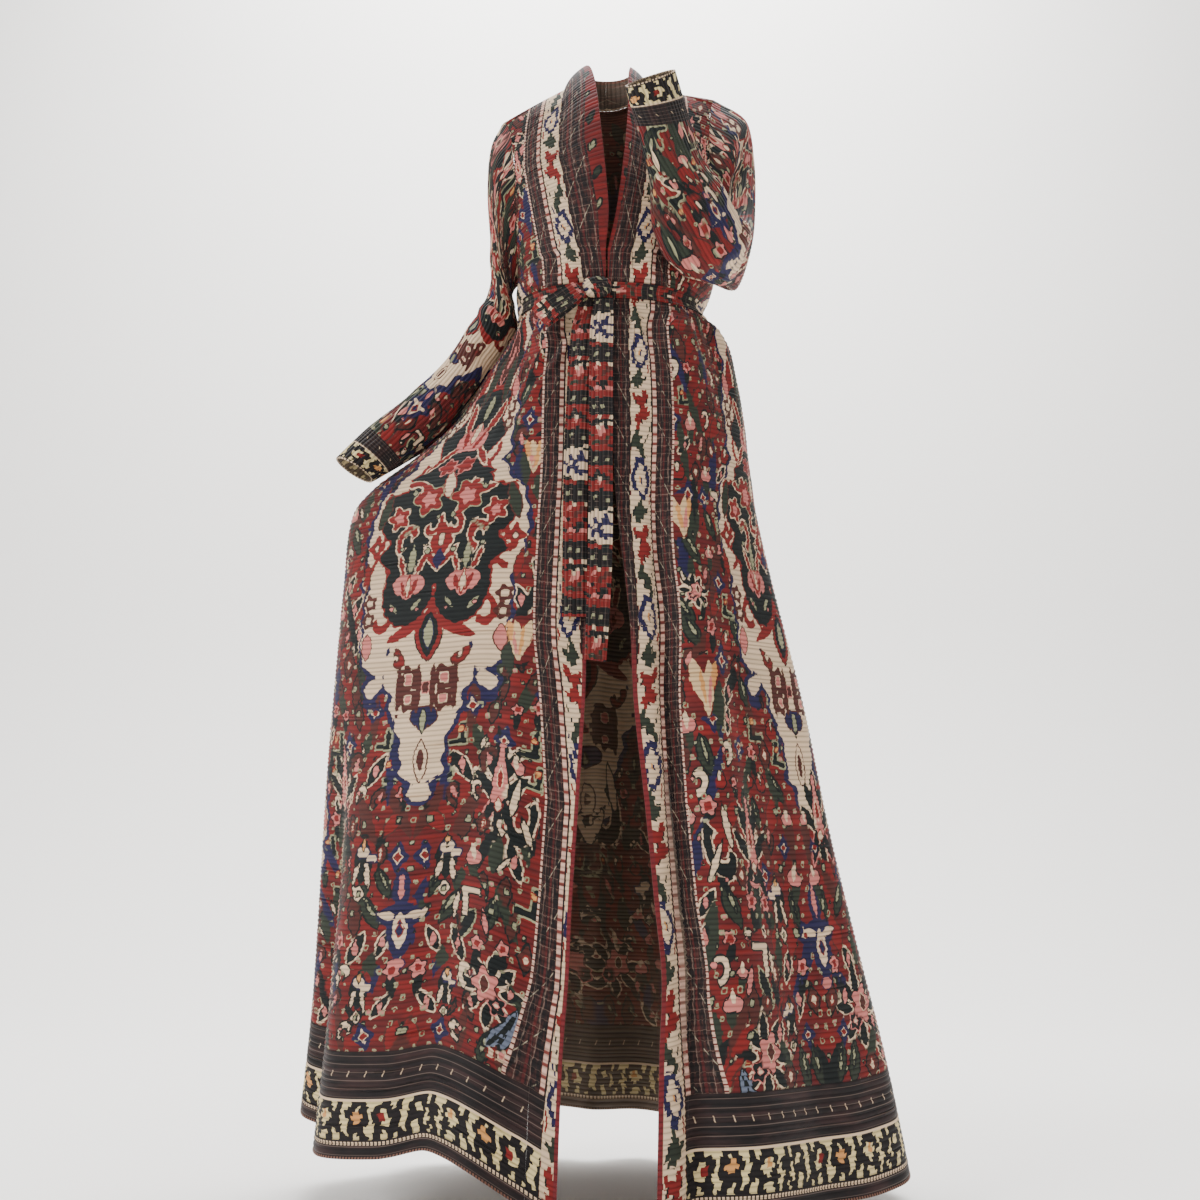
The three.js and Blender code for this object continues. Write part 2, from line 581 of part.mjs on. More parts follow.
// A tail of the belt, hanging in front of the body. turn twists it about its own length.
function tail(table) {
  const zs = spread(table[0].z, table[table.length - 1].z, 22);
  const surface = (across, z) => {
    const x = along(table, 'z', 'x', z);
    const depth = along(SECTIONS, 'z', 'front', z) + along(table, 'z', 'stand', z);
    const turn = along(table, 'z', 'turn', z) * RAD;
    const swell = 1.2 * Math.cos(across * Math.PI);
    return new THREE.Vector3(
      x + across * TAIL_WIDTH * Math.cos(turn),
      -depth - swell + across * TAIL_WIDTH * Math.sin(turn),
      z,
    );
  };
  return wall({
    us: [-0.5, -0.25, 0, 0.25, 0.5],
    vs: zs,
    thickness: BELT_CLOTH,
    outer: surface,
    normal: (across, z) => normalOf(surface, across, z, 0.02, 2, new THREE.Vector3(0, -1, 0)),
  });
}

function piece(name, geometry, colour) {
  const material = new THREE.MeshStandardMaterial({ color: colour, roughness: 0.9, metalness: 0 });
  const mesh = new THREE.Mesh(geometry, material);
  mesh.name = name;
  return mesh;
}

const abaya = new THREE.Group();
abaya.add(
  piece('front_right', front('right'), CARPET_RED),
  piece('front_left', front('left'), CARPET_RED),
  piece('back', backPanel(), CARPET_RED),
  piece('sleeve_right', sleeve('right'), CARPET_RED),
  piece('sleeve_left', sleeve('left'), CARPET_RED),
  piece('band_right', band('right', false), BAND_GREY),
  piece('band_left', band('left', false), BAND_GREY),
  piece('collar_right', band('right', true), BAND_GREY),
  piece('collar_left', band('left', true), BAND_GREY),
  piece('belt_waist', belt(), BAND_GREY),
  piece('belt_knot', knot(), BAND_GREY),
  piece('belt_loop', bowLoop(), BAND_GREY),
  piece('belt_tail_right', tail(TAIL_RIGHT), CARPET_RED),
  piece('belt_tail_left', tail(TAIL_LEFT), CARPET_RED),
);

export default abaya;
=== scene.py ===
# The looks of a long open-front abaya in crimped carpet-print cloth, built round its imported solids.
# Tables and shapes are in millimetres in the solids' own frame, and the meshes are made in metres.
import math
import bpy
import numpy as np
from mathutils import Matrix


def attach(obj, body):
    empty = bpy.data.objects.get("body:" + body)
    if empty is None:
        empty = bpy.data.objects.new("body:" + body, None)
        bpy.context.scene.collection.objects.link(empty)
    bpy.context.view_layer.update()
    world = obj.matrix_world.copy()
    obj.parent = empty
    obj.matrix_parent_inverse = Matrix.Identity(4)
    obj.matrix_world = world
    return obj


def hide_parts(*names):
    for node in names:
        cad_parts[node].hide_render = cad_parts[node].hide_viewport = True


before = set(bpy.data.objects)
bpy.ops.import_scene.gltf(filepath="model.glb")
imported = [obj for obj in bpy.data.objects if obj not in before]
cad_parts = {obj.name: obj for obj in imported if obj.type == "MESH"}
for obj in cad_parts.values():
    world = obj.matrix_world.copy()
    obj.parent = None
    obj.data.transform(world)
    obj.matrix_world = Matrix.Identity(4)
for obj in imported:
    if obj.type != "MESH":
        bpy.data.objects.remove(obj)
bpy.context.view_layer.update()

CLOTH = 1.9  # wall of the crimped cloth
BELT_CLOTH = 2.3
SEAM_GAP = 0.15
SIDE_GAP = math.degrees(SEAM_GAP / 2 / 200)  # half of it as an angle, some 200 mm off the body's middle
LENGTH = 1470  # shoulder neck point to hem
WAIST_Z = -350
UNDERARM_Z = -295
NECK_HALF = 60
NECK_RUN = 85  # from the shoulder neck point round to the centre back
NECK_START = 36  # half width of the neckline where it leaves the front edges
BACK_NECK_DEPTH = 52
SIDE_SEAM = 92
BAND_WIDTH = 34
SLEEVE_HEAD = 0.16
ARMHOLE_SCOOP = 11
SLOPE = {"right": 0.55, "left": 0.12}
SHOULDER = {"right": 150, "left": 158}
RIB = 6.0  # mean pitch of the crimps
CREST = 0.5  # how far a crest and a valley lie from the cloth's mean surface
VALLEY = 0.75
LINE = 0.45  # softness of a printed edge


def table(columns, *rows):
    """A table with named columns, as one array for each column."""
    return {name: np.array(values, float) for name, values in zip(columns.split(), zip(*rows))}


# Body sections below the underarm, as half widths, depths and the squareness of the right side.
SECTIONS = table(
    "z right left front back squareness",
    (-1500, 376, 364, 234, 254, 2.2),
    (-1340, 366, 336, 222, 236, 2.2),
    (-1200, 362, 305, 208, 222, 2.2),
    (-1050, 359, 274, 190, 205, 2.15),
    (-900, 356, 250, 172, 186, 2.05),
    (-740, 350, 218, 152, 162, 1.85),
    (-640, 342, 200, 141, 146, 1.65),
    (-600, 314, 196, 136, 138, 1.6),
    (-560, 262, 192, 131, 130, 1.7),
    (-510, 206, 188, 124, 118, 2.0),
    (-440, 162, 178, 112, 104, 2.2),
    (-385, 129, 164, 100, 90, 2.3),
    (-350, 119, 130, 92, 80, 2.3),
    (-325, 125, 141, 104, 88, 2.3),
    (-295, 123, 150, 105, 90, 2.3),
    (-250, 126, 152, 103, 90, 2.3),
)
# The free front edges: x of the right and the left one at each height.
FRONT_EDGES = table(
    "z right left",
    (-1500, -57, 50),
    (-1300, -50, 56),
    (-1217, -44, 60),
    (-1140, -41, 53),
    (-1027, -34, 43),
    (-907, -27, 31),
    (-807, -24, 27),
    (-650, -8, 11),
    (-513, -3, 6),
    (-350, -1.5, 1.5),
    (-250, -1.5, 1.5),
)
# How far the hem hangs above or below its nominal height, in degrees round from the centre front.
HEM_LIFT = table(
    "angle lift",
    (-180, 45), (-130, 62), (-96, 94), (-82, 74), (-70, 50), (-56, 50), (-46, 62), (-34, 46),
    (-24, 16), (-13, -10), (13, -12), (36, 2), (64, 4), (90, 32), (125, 36), (180, 45),
)
# Main vertical folds: a ridge (+) or a trough (-) that grows from top to full and is gone at end.
FOLDS = table(
    "angle width depth top full end",
    (25, 5, -24, -420, -950, -9999),
    (38, 6.5, 11, -470, -1000, -9999),
    (57, 7, -15, -620, -1300, -9999),
    (74, 6, 12, -420, -1050, -9999),
    (30, 6, -9, -366, -398, -560),
    (50, 6, 7, -366, -400, -540),
    (66, 6, -9, -366, -398, -580),
    (98, 6, -13, -400, -1000, -9999),
    (113, 6, 13, -400, -1000, -9999),
    (128, 5.5, -17, -380, -900, -9999),
    (143, 6, 15, -380, -1100, -9999),
    (157, 5, -19, -370, -1000, -9999),
    (171, 6, 14, -370, -900, -9999),
    (-175, 5, -16, -370, -1050, -9999),
    (-160, 6.5, 15, -370, -1000, -9999),
    (-145, 5.5, -18, -380, -900, -9999),
    (-131, 6, 12, -380, -1100, -9999),
    (-116, 5.5, -16, -420, -950, -9999),
    (-100, 5, 12, -700, -1200, -9999),
    (-78, 4, -30, -880, -1330, -9999),
    (-66, 5, 12, -850, -1300, -9999),
    (-49, 6.5, -14, -780, -1250, -9999),
    (-32, 6, 9, -640, -1200, -9999),
    (-24, 6, -9, -366, -400, -640),
    (-42, 6, 8, -366, -410, -620),
    (-60, 7, -12, -366, -430, -660),
)
# Gathers that run out of the belt and soft creases, which turn by drift degrees on their way down.
GATHERS = table(
    "angle drift width depth top full end",
    (-17, -26, 2.6, -3.2, -364, -392, -560),
    (-21, -30, 2.4, 2.6, -364, -388, -590),
    (-28, -34, 2.8, -4.2, -364, -396, -640),
    (-34, -34, 2.4, 3.0, -364, -390, -570),
    (-39, -32, 2.6, -4.4, -364, -398, -660),
    (-47, -26, 2.8, 3.4, -364, -390, -600),
    (-53, -22, 2.6, -4.6, -364, -394, -700),
    (-66, -14, 3.0, 3.2, -364, -392, -620),
    (-73, -8, 2.8, -4.0, -364, -392, -640),
    (-84, -2, 3.2, 3.0, -364, -396, -600),
    (16, 6, 2.4, -3.0, -364, -388, -520),
    (21, 8, 2.2, 2.4, -364, -390, -500),
    (36, 8, 2.6, -3.8, -364, -392, -600),
    (43, 8, 2.4, 3.0, -364, -388, -540),
    (57, 6, 2.8, -3.4, -364, -392, -580),
    (73, 4, 3.0, 3.2, -364, -390, -560),
    (80, 2, 2.6, -3.6, -364, -390, -620),
    (-19, -9, 3.0, 2.2, -620, -800, -1250),
    (-40, -6, 3.4, -3.2, -640, -900, -1500),
    (-57, 5, 3.4, 3.0, -700, -1000, -1600),
    (-84, 3, 3.0, 3.4, -760, -1050, -1700),
    (15, 3, 3.2, -2.6, -560, -760, -1150),
    (32, 4, 3.0, 3.0, -800, -1100, -1600),
    (48, 3, 3.6, -3.2, -640, -1000, -1700),
    (67, 3, 3.2, -3.4, -760, -1100, -1700),
    (84, 2, 3.4, -3.6, -600, -1000, -1700),
    (105, 6, 3.0, 3.4, -366, -420, -760),
    (121, 5, 2.8, -4.4, -366, -410, -820),
    (135, 3, 3.0, 4.0, -366, -420, -700),
    (150, 2, 2.6, -4.0, -366, -410, -780),
    (164, -2, 2.8, 3.8, -366, -410, -690),
    (177, -2, 2.6, -4.2, -366, -420, -800),
    (-167, -3, 2.8, 3.6, -366, -410, -720),
    (-152, -4, 2.8, -4.2, -366, -420, -800),
    (-138, -5, 3.0, 3.8, -366, -410, -700),
    (-123, -6, 2.8, -4.2, -366, -410, -780),
    (-107, -6, 3.0, 3.4, -366, -420, -700),
    (-30, 6, 4.0, 3.0, -190, -318, -338),
    (-44, 8, 4.0, -3.4, -200, -316, -338),
    (-60, 8, 4.4, 3.2, -210, -318, -338),
    (24, -4, 3.6, -2.6, -215, -316, -338),
    (36, -6, 3.8, 3.0, -200, -318, -338),
    (50, -6, 4.0, -3.2, -210, -316, -338),
    (66, -6, 4.2, 3.0, -220, -318, -338),
    (118, 4, 4.0, -3.2, -180, -316, -338),
    (138, 2, 4.0, 3.4, -190, -318, -338),
    (158, 0, 4.0, -3.4, -170, -316, -338),
    (178, 0, 4.0, 3.2, -190, -318, -338),
    (-162, 0, 4.0, -3.4, -180, -316, -338),
    (-142, -2, 4.0, 3.2, -190, -318, -338),
    (-120, -4, 4.0, -3.0, -200, -316, -338),
)
# The band's free edge seen from its seam, over the shoulder from 0 to 90 degrees.
BAND_EDGE = {
    "right": table(
        "angle inward back up",
        (0, 34.5, 0, 0), (12, 47, -9, 4), (40, 49, -12, 22), (65, 40, -4, 36), (90, 25, 5, 43),
    ),
    "left": table(
        "angle inward back up",
        (0, 34.5, 0, 0), (12, 31, -2, 4), (40, 30, 4, 26), (65, 28, 6, 38), (90, 22, 8, 43),
    ),
}
BAND_BACK = {"inward": 0, "back": -8, "up": 45}
# Sleeve rings: o and i are the two ends of a ring across the arm, f is its front half depth.
SLEEVES = {
    "right": table(
        "at ox oy oz ix iy iz fx fy fz rear",
        (0.0, -151, 0, -47, -123, 0, -295, 0, -46, 0, 1),
        (0.1, -165, 2, -84, -130, 3, -303, 0, -48, 0, 1),
        (0.2, -169, 5, -150, -133, 5, -315, 0, -48, 0, 1),
        (0.3, -165, 9, -215, -128.5, 6, -331, -2, -46, 0, 1),
        (0.4, -164, 12, -272, -125, 4, -350, -4, -44, -1, 1),
        (0.48, -167, 14, -320, -128, 0, -373, -8, -42, -1, 1),
        (0.56, -187, 12, -355, -145, -5, -408, -8, -41, 0, 1),
        (0.66, -217, 6, -408, -181, -8, -461, -5, -40, 1, 1),
        (0.76, -266, -2, -464, -224.5, -8, -522, -4, -38, 2, 1),
        (0.88, -322, -16, -518, -276, -22, -564, -3, -35, 3, 1),
        (1.0, -361, -28, -566, -314, -34, -591, -3, -33, 3, 1),
    ),
    "left": table(
        "at ox oy oz ix iy iz fx fy fz rear",
        (0.0, 159, 0, -12, 151, 0, -295, 0, -46, 0, 1),
        (0.1, 200, -4, -44, 166, 0, -303, -12, -44, 0, 0.9),
        (0.2, 206, -16, -96, 173, -14, -312, -22, -38, 0, 0.7),
        (0.3, 201, -36, -160, 173, -38, -322, -30, -32, 0, 0.55),
        (0.4, 194, -62, -222, 160, -68, -331, -36, -22, 2, 0.5),
        (0.5, 184, -90, -248, 130, -100, -341, -34, -6, 8, 0.7),
        (0.6, 168, -106, -238, 86, -126, -332, -24, 14, 18, 1),
        (0.7, 152, -120, -208, 60, -150, -284, -10, 26, 22, 1),
        (0.8, 126, -148, -186, 52, -176, -222, 0, 28, 22, 1),
        (0.9, 108, -182, -156, 38, -204, -178, 2, 26, 20, 1),
        (1.0, 87, -214, -101, 23, -226, -132, 2, 22, 18, 1),
    ),
}
# Creases of the sleeves: where along and round, half sizes, depth and how much they slant.
CREASES = {
    "right": table(
        "at turn long wide depth slant",
        (0.44, 0.9, 0.030, 1.0, -4.5, 0.03),
        (0.50, 1.2, 0.024, 1.1, 4.0, -0.03),
        (0.55, 1.0, 0.022, 1.0, -4.5, 0.04),
        (0.60, 1.9, 0.024, 0.9, 3.0, 0.05),
        (0.66, 1.4, 0.026, 0.8, -3.0, -0.06),
        (0.36, 1.6, 0.040, 0.9, 3.5, 0.06),
        (0.28, 1.1, 0.036, 0.8, -3.0, -0.05),
        (0.78, 1.2, 0.030, 0.9, 2.4, 0.07),
        (0.86, 1.9, 0.030, 0.8, -2.4, -0.05),
        (0.47, 4.6, 0.030, 1.0, -4.0, 0.04),
        (0.56, 4.3, 0.030, 1.0, 3.0, -0.04),
        (0.20, 4.8, 0.050, 0.8, -3.0, 0.05),
    ),
    "left": table(
        "at turn long wide depth slant",
        (0.30, 1.2, 0.030, 1.0, -4.0, 0.04),
        (0.38, 1.4, 0.026, 1.0, 3.4, -0.05),
        (0.46, 1.8, 0.024, 0.9, -4.0, 0.05),
        (0.53, 2.4, 0.022, 0.9, 3.4, 0.03),
        (0.60, 2.8, 0.024, 0.8, -3.6, -0.04),
        (0.66, 2.2, 0.026, 0.7, 2.6, 0.05),
        (0.22, 0.9, 0.036, 0.8, 3.0, -0.05),
        (0.14, 1.5, 0.034, 0.8, -2.6, 0.05),
        (0.78, 3.4, 0.030, 0.9, -2.2, 0.05),
        (0.42, 4.4, 0.030, 1.0, -4.0, 0.04),
        (0.56, 4.6, 0.030, 0.9, 3.4, -0.03),
    ),
}
BELT_HEIGHT = 20
BELT_STAND = 0.9
KNOT_AT = np.array([-13, -108.3, -351])
KNOT_SIZE = np.array([38, 22, 28])
LOOP_FROM = np.array([-33.8, -111.6, -355])
LOOP_TO = np.array([-90, -117, -400])
LOOP_LENGTH = 70
LOOP_WIDTH = 31
LOOP_THICK = 9
TAIL_WIDTH = 30
TAILS = {
    "right": table(
        "z x stand turn",
        (-363.9, -22, 7, 0), (-420, -32, 5.5, -4), (-585, -39, 5, 0), (-700, -40, 5.5, 5), (-806, -40, 6, 2),
    ),
    "left": table(
        "z x stand turn",
        (-365.5, -4, 12, 0), (-420, -7, 11, 3), (-585, -8, 10, -3), (-730, -9, 11, 8), (-862, -14, 13, 34),
    ),
}


def along(rows, key, column, value):
    """A smooth curve through one column of a table, by its key column."""
    keys, values = rows[key], rows[column]
    value = np.asarray(value, float)
    sign = 1 if keys[1] > keys[0] else -1
    last = len(keys) - 1
    i = np.clip(np.searchsorted(sign * keys, sign * value) - 1, 0, last - 1)
    each = np.arange(last + 1)
    low, high = np.maximum(each - 1, 0), np.minimum(each + 1, last)
    slope = (values[high] - values[low]) / (keys[high] - keys[low])
    span = keys[i + 1] - keys[i]
    t = np.clip((value - keys[i]) / span, 0, 1)
    from_low = (2 * t**3 - 3 * t**2 + 1) * values[i] + (t**3 - 2 * t**2 + t) * slope[i] * span
    from_high = (3 * t**2 - 2 * t**3) * values[i + 1] + (t**3 - t**2) * slope[i + 1] * span
    return from_low + from_high


def smooth(t):
    t = np.clip(t, 0, 1)
    return t * t * (3 - 2 * t)


def wrapped(angle):
    return (np.asarray(angle, float) + 180) % 360 - 180


def fold_depth(side, z, rows):
    """How far the folds of a table lift the cloth off its section."""
    total = np.zeros(np.broadcast(side, z).shape)
    drifts = rows.get("drift", np.zeros(len(rows["angle"])))
    for k, angle in enumerate(rows["angle"]):
        top, full, end = rows["top"][k], rows["full"][k], rows["end"][k]
        centre = angle + drifts[k] * smooth((top - z) / (top - end))
        off = wrapped(side - centre) / rows["width"][k]
        grown = smooth((top - z) / (top - full)) * (1 - smooth((full - z) / (full - end)))
        total += rows["depth"][k] * grown * np.exp(-off * off)
    return total


def sideways(side, right, left):
    return np.where(np.asarray(side) < 0, right, left)


def ring(angle, z, gathers=True):
    """The body below the underarm at height z, in the direction of angle."""
    side = wrapped(angle)
    turn = np.radians(side)
    sin, cos = np.abs(np.sin(turn)), np.abs(np.cos(turn))
    width = sideways(side, along(SECTIONS, "z", "right", z), along(SECTIONS, "z", "left", z))
    depth = np.where(np.abs(side) < 90, along(SECTIONS, "z", "front", z), along(SECTIONS, "z", "back", z))
    power = sideways(side, along(SECTIONS, "z", "squareness", z), 2.2)
    reach = ((sin / width) ** power + (cos / depth) ** power) ** (-1 / power) + fold_depth(side, z, FOLDS)
    if gathers:
        reach = reach + fold_depth(side, z, GATHERS)
    hang = np.clip((WAIST_Z - z) / (LENGTH + WAIST_Z), 0, 1) ** 2
    lift = along(HEM_LIFT, "angle", "lift", side) * hang
    return np.stack([reach * np.sin(turn), -reach * np.cos(turn), z + lift], -1)


def angle_at(x, z):
    """The direction in which the front of the section at height z has a given x."""
    angle = np.zeros(np.broadcast(x, z).shape)
    for _ in range(14):
        point = ring(angle, z, False)
        reach = np.hypot(point[..., 0], point[..., 1])
        angle = np.degrees(np.arcsin(np.clip(x / reach, -0.9, 0.9)))
    return angle


def shoulder_arch(x, over, back):
    """The body above the underarm: each column of x arches over the shoulder as over goes to 90."""
    x, over = np.broadcast_arrays(np.asarray(x, float), np.asarray(over, float))
    sin, cos = np.sin(np.radians(over)), np.cos(np.radians(over))
    start = sideways(x, along(SECTIONS, "z", "right", UNDERARM_Z), along(SECTIONS, "z", "left", UNDERARM_Z))
    width = start + (sideways(x, SHOULDER["right"], SHOULDER["left"]) + 6 - start) * sin
    depth = along(SECTIONS, "z", "back" if back else "front", UNDERARM_Z)
    power = 2.25
    base = depth * (1 - np.minimum(1, np.abs(x) / width) ** power) ** (1 / power)
    in_neck = np.maximum(0, 1 - (x / NECK_HALF) ** 2)
    top_y = BACK_NECK_DEPTH * in_neck if back else 0
    slope = sideways(x, SLOPE["right"], SLOPE["left"])
    top_z = 4 * in_neck - slope * np.maximum(0, np.abs(x) - NECK_HALF)
    y = top_y + (base - top_y) * cos
    return np.stack([x, y if back else -y, UNDERARM_Z + (top_z - UNDERARM_Z) * sin], -1)


def armhole_x(side, over):
    start = along(SECTIONS, "z", side, UNDERARM_Z)
    turn = np.radians(over)
    return start + (SHOULDER[side] - start) * np.sin(turn) - ARMHOLE_SCOOP * np.sin(2 * turn)


def neck_x(over):
    return NECK_START + (NECK_HALF - NECK_START) * np.sin(np.radians(np.minimum(1, over / 50) * 90))


def seam_angle(side, z):
    """Where a front meets its band, as an angle round the body."""
    sign = -1 if side == "right" else 1
    return angle_at(along(FRONT_EDGES, "z", side, z) + sign * BAND_WIDTH, z)


def uneven(start, end, count):
    """Places from start to end whose steps swell and shrink a little."""
    k = np.arange(count)
    steps = 1 + 0.17 * np.sin(k * 0.91) + 0.13 * np.sin(k * 0.37 + 1) + 0.1 * np.sin(k * 2.3 + 2)
    place = np.concatenate([[0], np.cumsum(steps)])
    return start + (end - start) * place / place[-1]


# The rows of the body: crests (whole numbers of rib) and valleys of the crimps, unevenly spaced.
SKIRT_COUNT = 2 * round((LENGTH + UNDERARM_Z) / RIB)
SKIRT_Z = uneven(-LENGTH, UNDERARM_Z, SKIRT_COUNT)
ARCH_FINE = np.linspace(0, 90, 400)
ARCH_RUN = np.concatenate([[0], np.cumsum(np.hypot(
    np.diff(100 * np.cos(np.radians(ARCH_FINE))), np.diff(285 * np.sin(np.radians(ARCH_FINE)))))])
ARCH_COUNT = 2 * round(ARCH_RUN[-1] / RIB)
ARCH_OVER = np.minimum(np.interp(uneven(0, ARCH_RUN[-1], ARCH_COUNT), ARCH_RUN, ARCH_FINE), 89.8)[1:]
ROW_Z = np.concatenate([SKIRT_Z, np.full(ARCH_COUNT, UNDERARM_Z)])
ROW_OVER = np.concatenate([np.zeros(SKIRT_COUNT + 1), ARCH_OVER])
ROW_UP = np.concatenate([SKIRT_Z + LENGTH, LENGTH + UNDERARM_Z + np.interp(ARCH_OVER, ARCH_FINE, ARCH_RUN)])
ROW_RIB = np.arange(len(ROW_Z)) / 2
IN_ARCH = np.arange(len(ROW_Z)) > SKIRT_COUNT


def even_places(surface, level, start, end, count, denser=None):
    """Places along each row between two ends, evenly spaced by length, and their lengths."""
    fine = start[:, None] + (end - start)[:, None] * np.linspace(0, 1, 121)
    points = surface(fine, level[:, None])
    step = np.linalg.norm(np.diff(points, axis=1), axis=2)
    run = np.concatenate([np.zeros((len(level), 1)), np.cumsum(step, axis=1)], axis=1)
    pace = run
    if denser is not None:
        weight = denser((fine[:, 1:] + fine[:, :-1]) / 2)
        pace = np.concatenate([np.zeros((len(level), 1)), np.cumsum(step * weight, axis=1)], axis=1)
    share = np.linspace(0, 1, count + 1)
    places = np.array([np.interp(share * p[-1], p, f) for p, f in zip(pace, fine)])
    lengths = np.array([np.interp(share * p[-1], p, r) for p, r in zip(pace, run)])
    return places, lengths


def body_panel(skirt_ends, arch_ends, back, count, denser=None):
    """The mean surface of a body panel, row by row, and the length along each row."""
    low, high = ~IN_ARCH, IN_ARCH
    places, lengths = even_places(ring, ROW_Z[low], *skirt_ends(ROW_Z[low]), count, denser)
    grid = [ring(places, ROW_Z[low][:, None])]

    def arch(x, over):
        return shoulder_arch(x, over, back)

    tops, more = even_places(arch, ROW_OVER[high], *arch_ends(ROW_OVER[high]), count)
    grid.append(arch(tops, ROW_OVER[high][:, None]))
    return np.concatenate(grid), np.concatenate([lengths, more])


def body_normals(grid):
    hint = grid.copy()
    hint[..., 2] = np.where(IN_ARCH, 120, 0)[: len(grid), None]
    return normals(grid, hint)


def normals(grid, hint, loop=False):
    if loop:
        across = np.roll(grid, -1, axis=1) - np.roll(grid, 1, axis=1)
    else:
        across = np.gradient(grid, axis=1)
    n = np.cross(across, np.gradient(grid, axis=0))
    n /= np.maximum(np.linalg.norm(n, axis=2, keepdims=True), 1e-9)
    return n * np.where((n * hint).sum(2, keepdims=True) < 0, -1, 1)


def noise(x, y, seed):
    """A smooth, repeatable unevenness from -1 to 1."""
    waves = np.random.default_rng(seed).uniform((0.5, 0.5, 0), (1.6, 1.6, 6.28), (6, 3))
    return sum(np.sin(x * a + y * b * (-1) ** k + c) for k, (a, b, c) in enumerate(waves)) / 4


def crimp(rib, x, seed, amount=1.0):
    """The crimps: crests at whole numbers of rib and valleys between, uneven along their length."""
    swing = np.cos(2 * np.pi * rib)
    height = np.where(swing > 0, CREST, VALLEY) * swing
    return amount * height * (1 + 0.35 * noise(x / 24, rib * 1.7, seed))


def fan(fine, coarse, step, flip):
    """Triangles that join a fine edge to a coarse one."""
    faces = []
    for m in range(len(coarse) - 1):
        a, b = coarse[m], coarse[m + 1]
        row = fine[m * step : (m + 1) * step + 1]
        middle = step // 2
        for i in range(step):
            faces.append((a if i < middle or step == 1 else b, row[i], row[i + 1]))
        faces.append((b, a, row[middle if step > 1 else 1]))
    return [(a, c, b) if flip else (a, b, c) for a, b, c in faces]


def shell(name, grid, normal, lift, data, thickness=CLOTH, step=(2, 2), loop=False):
    """A thin closed sheet of cloth: a finely crimped outer side and a plainer inner side."""
    rows, columns = grid.shape[:2]
    outer = grid + normal * lift[..., None]
    inner = (grid - normal * thickness)[:: step[0], :: step[1]]
    irows, icolumns = inner.shape[:2]
    first = np.arange(rows * columns).reshape(rows, columns)
    second = rows * columns + np.arange(irows * icolumns).reshape(irows, icolumns)
    if loop:
        first = np.concatenate([first, first[:, :1]], axis=1)
        second = np.concatenate([second, second[:, :1]], axis=1)
    quads = [
        np.stack([first[:-1, :-1], first[:-1, 1:], first[1:, 1:], first[1:, :-1]], -1).reshape(-1, 4),
        np.stack([second[:-1, :-1], second[1:, :-1], second[1:, 1:], second[:-1, 1:]], -1).reshape(-1, 4),
    ]
    tris = fan(first[0], second[0], step[1], False) + fan(first[-1], second[-1], step[1], True)
    if not loop:
        tris += fan(first[:, 0], second[:, 0], step[0], True)
        tris += fan(first[:, -1], second[:, -1], step[0], False)
    points = np.concatenate([outer.reshape(-1, 3), inner.reshape(-1, 3)])
    q = points[quads[0][len(quads[0]) // 2]]
    facing = np.cross(q[1] - q[0], q[2] - q[0]) @ normal.reshape(-1, 3)[quads[0][len(quads[0]) // 2][0]]
    faces = np.concatenate(quads), np.array(tris)
    if facing < 0:
        faces = faces[0][:, ::-1], faces[1][:, ::-1]
    values = {"inside": np.concatenate([np.zeros(rows * columns), np.ones(irows * icolumns)])}
    for key, value in data.items():
        thin = value[:: step[0], :: step[1]]
        values[key] = np.concatenate([value.reshape(rows * columns, -1), thin.reshape(irows * icolumns, -1)])
    return piece(name, points, *faces, values)


def piece(name, points, quads, tris, values):
    """A mesh object in metres from points in millimetres, with its named point values."""
    mesh = bpy.data.meshes.new(name)
    mesh.vertices.add(len(points))
    mesh.vertices.foreach_set("co", (points / 1000).astype(np.float32).ravel())
    mesh.loops.add(4 * len(quads) + 3 * len(tris))
    mesh.loops.foreach_set("vertex_index", np.concatenate([quads.ravel(), tris.ravel()]).astype(np.int32))
    mesh.polygons.add(len(quads) + len(tris))
    starts = np.concatenate([4 * np.arange(len(quads)), 4 * len(quads) + 3 * np.arange(len(tris))])
    mesh.polygons.foreach_set("loop_start", starts.astype(np.int32))
    mesh.update(calc_edges=True)
    mesh.polygons.foreach_set("use_smooth", np.ones(len(mesh.polygons), bool))
    mesh.set_sharp_from_angle(angle=math.radians(62))
    for key, value in values.items():
        value = np.asarray(value, np.float32).reshape(len(points), -1)
        if value.shape[1] == 1:
            mesh.attributes.new(key, "FLOAT", "POINT").data.foreach_set("value", value.ravel())
        else:
            colour = np.concatenate([value, np.ones((len(points), 1), np.float32)], axis=1)
            mesh.attributes.new(key, "FLOAT_COLOR", "POINT").data.foreach_set("color", colour.ravel())
    obj = bpy.data.objects.new(name, mesh)
    bpy.context.scene.collection.objects.link(obj)
    return obj


def linear(red, green, blue):
    """A colour given as it looks on a screen, 0 to 255, in scene values."""
    screen = [part / 255 for part in (red, green, blue)]
    return tuple(part / 12.92 if part < 0.04 else ((part + 0.055) / 1.055) ** 2.4 for part in screen)


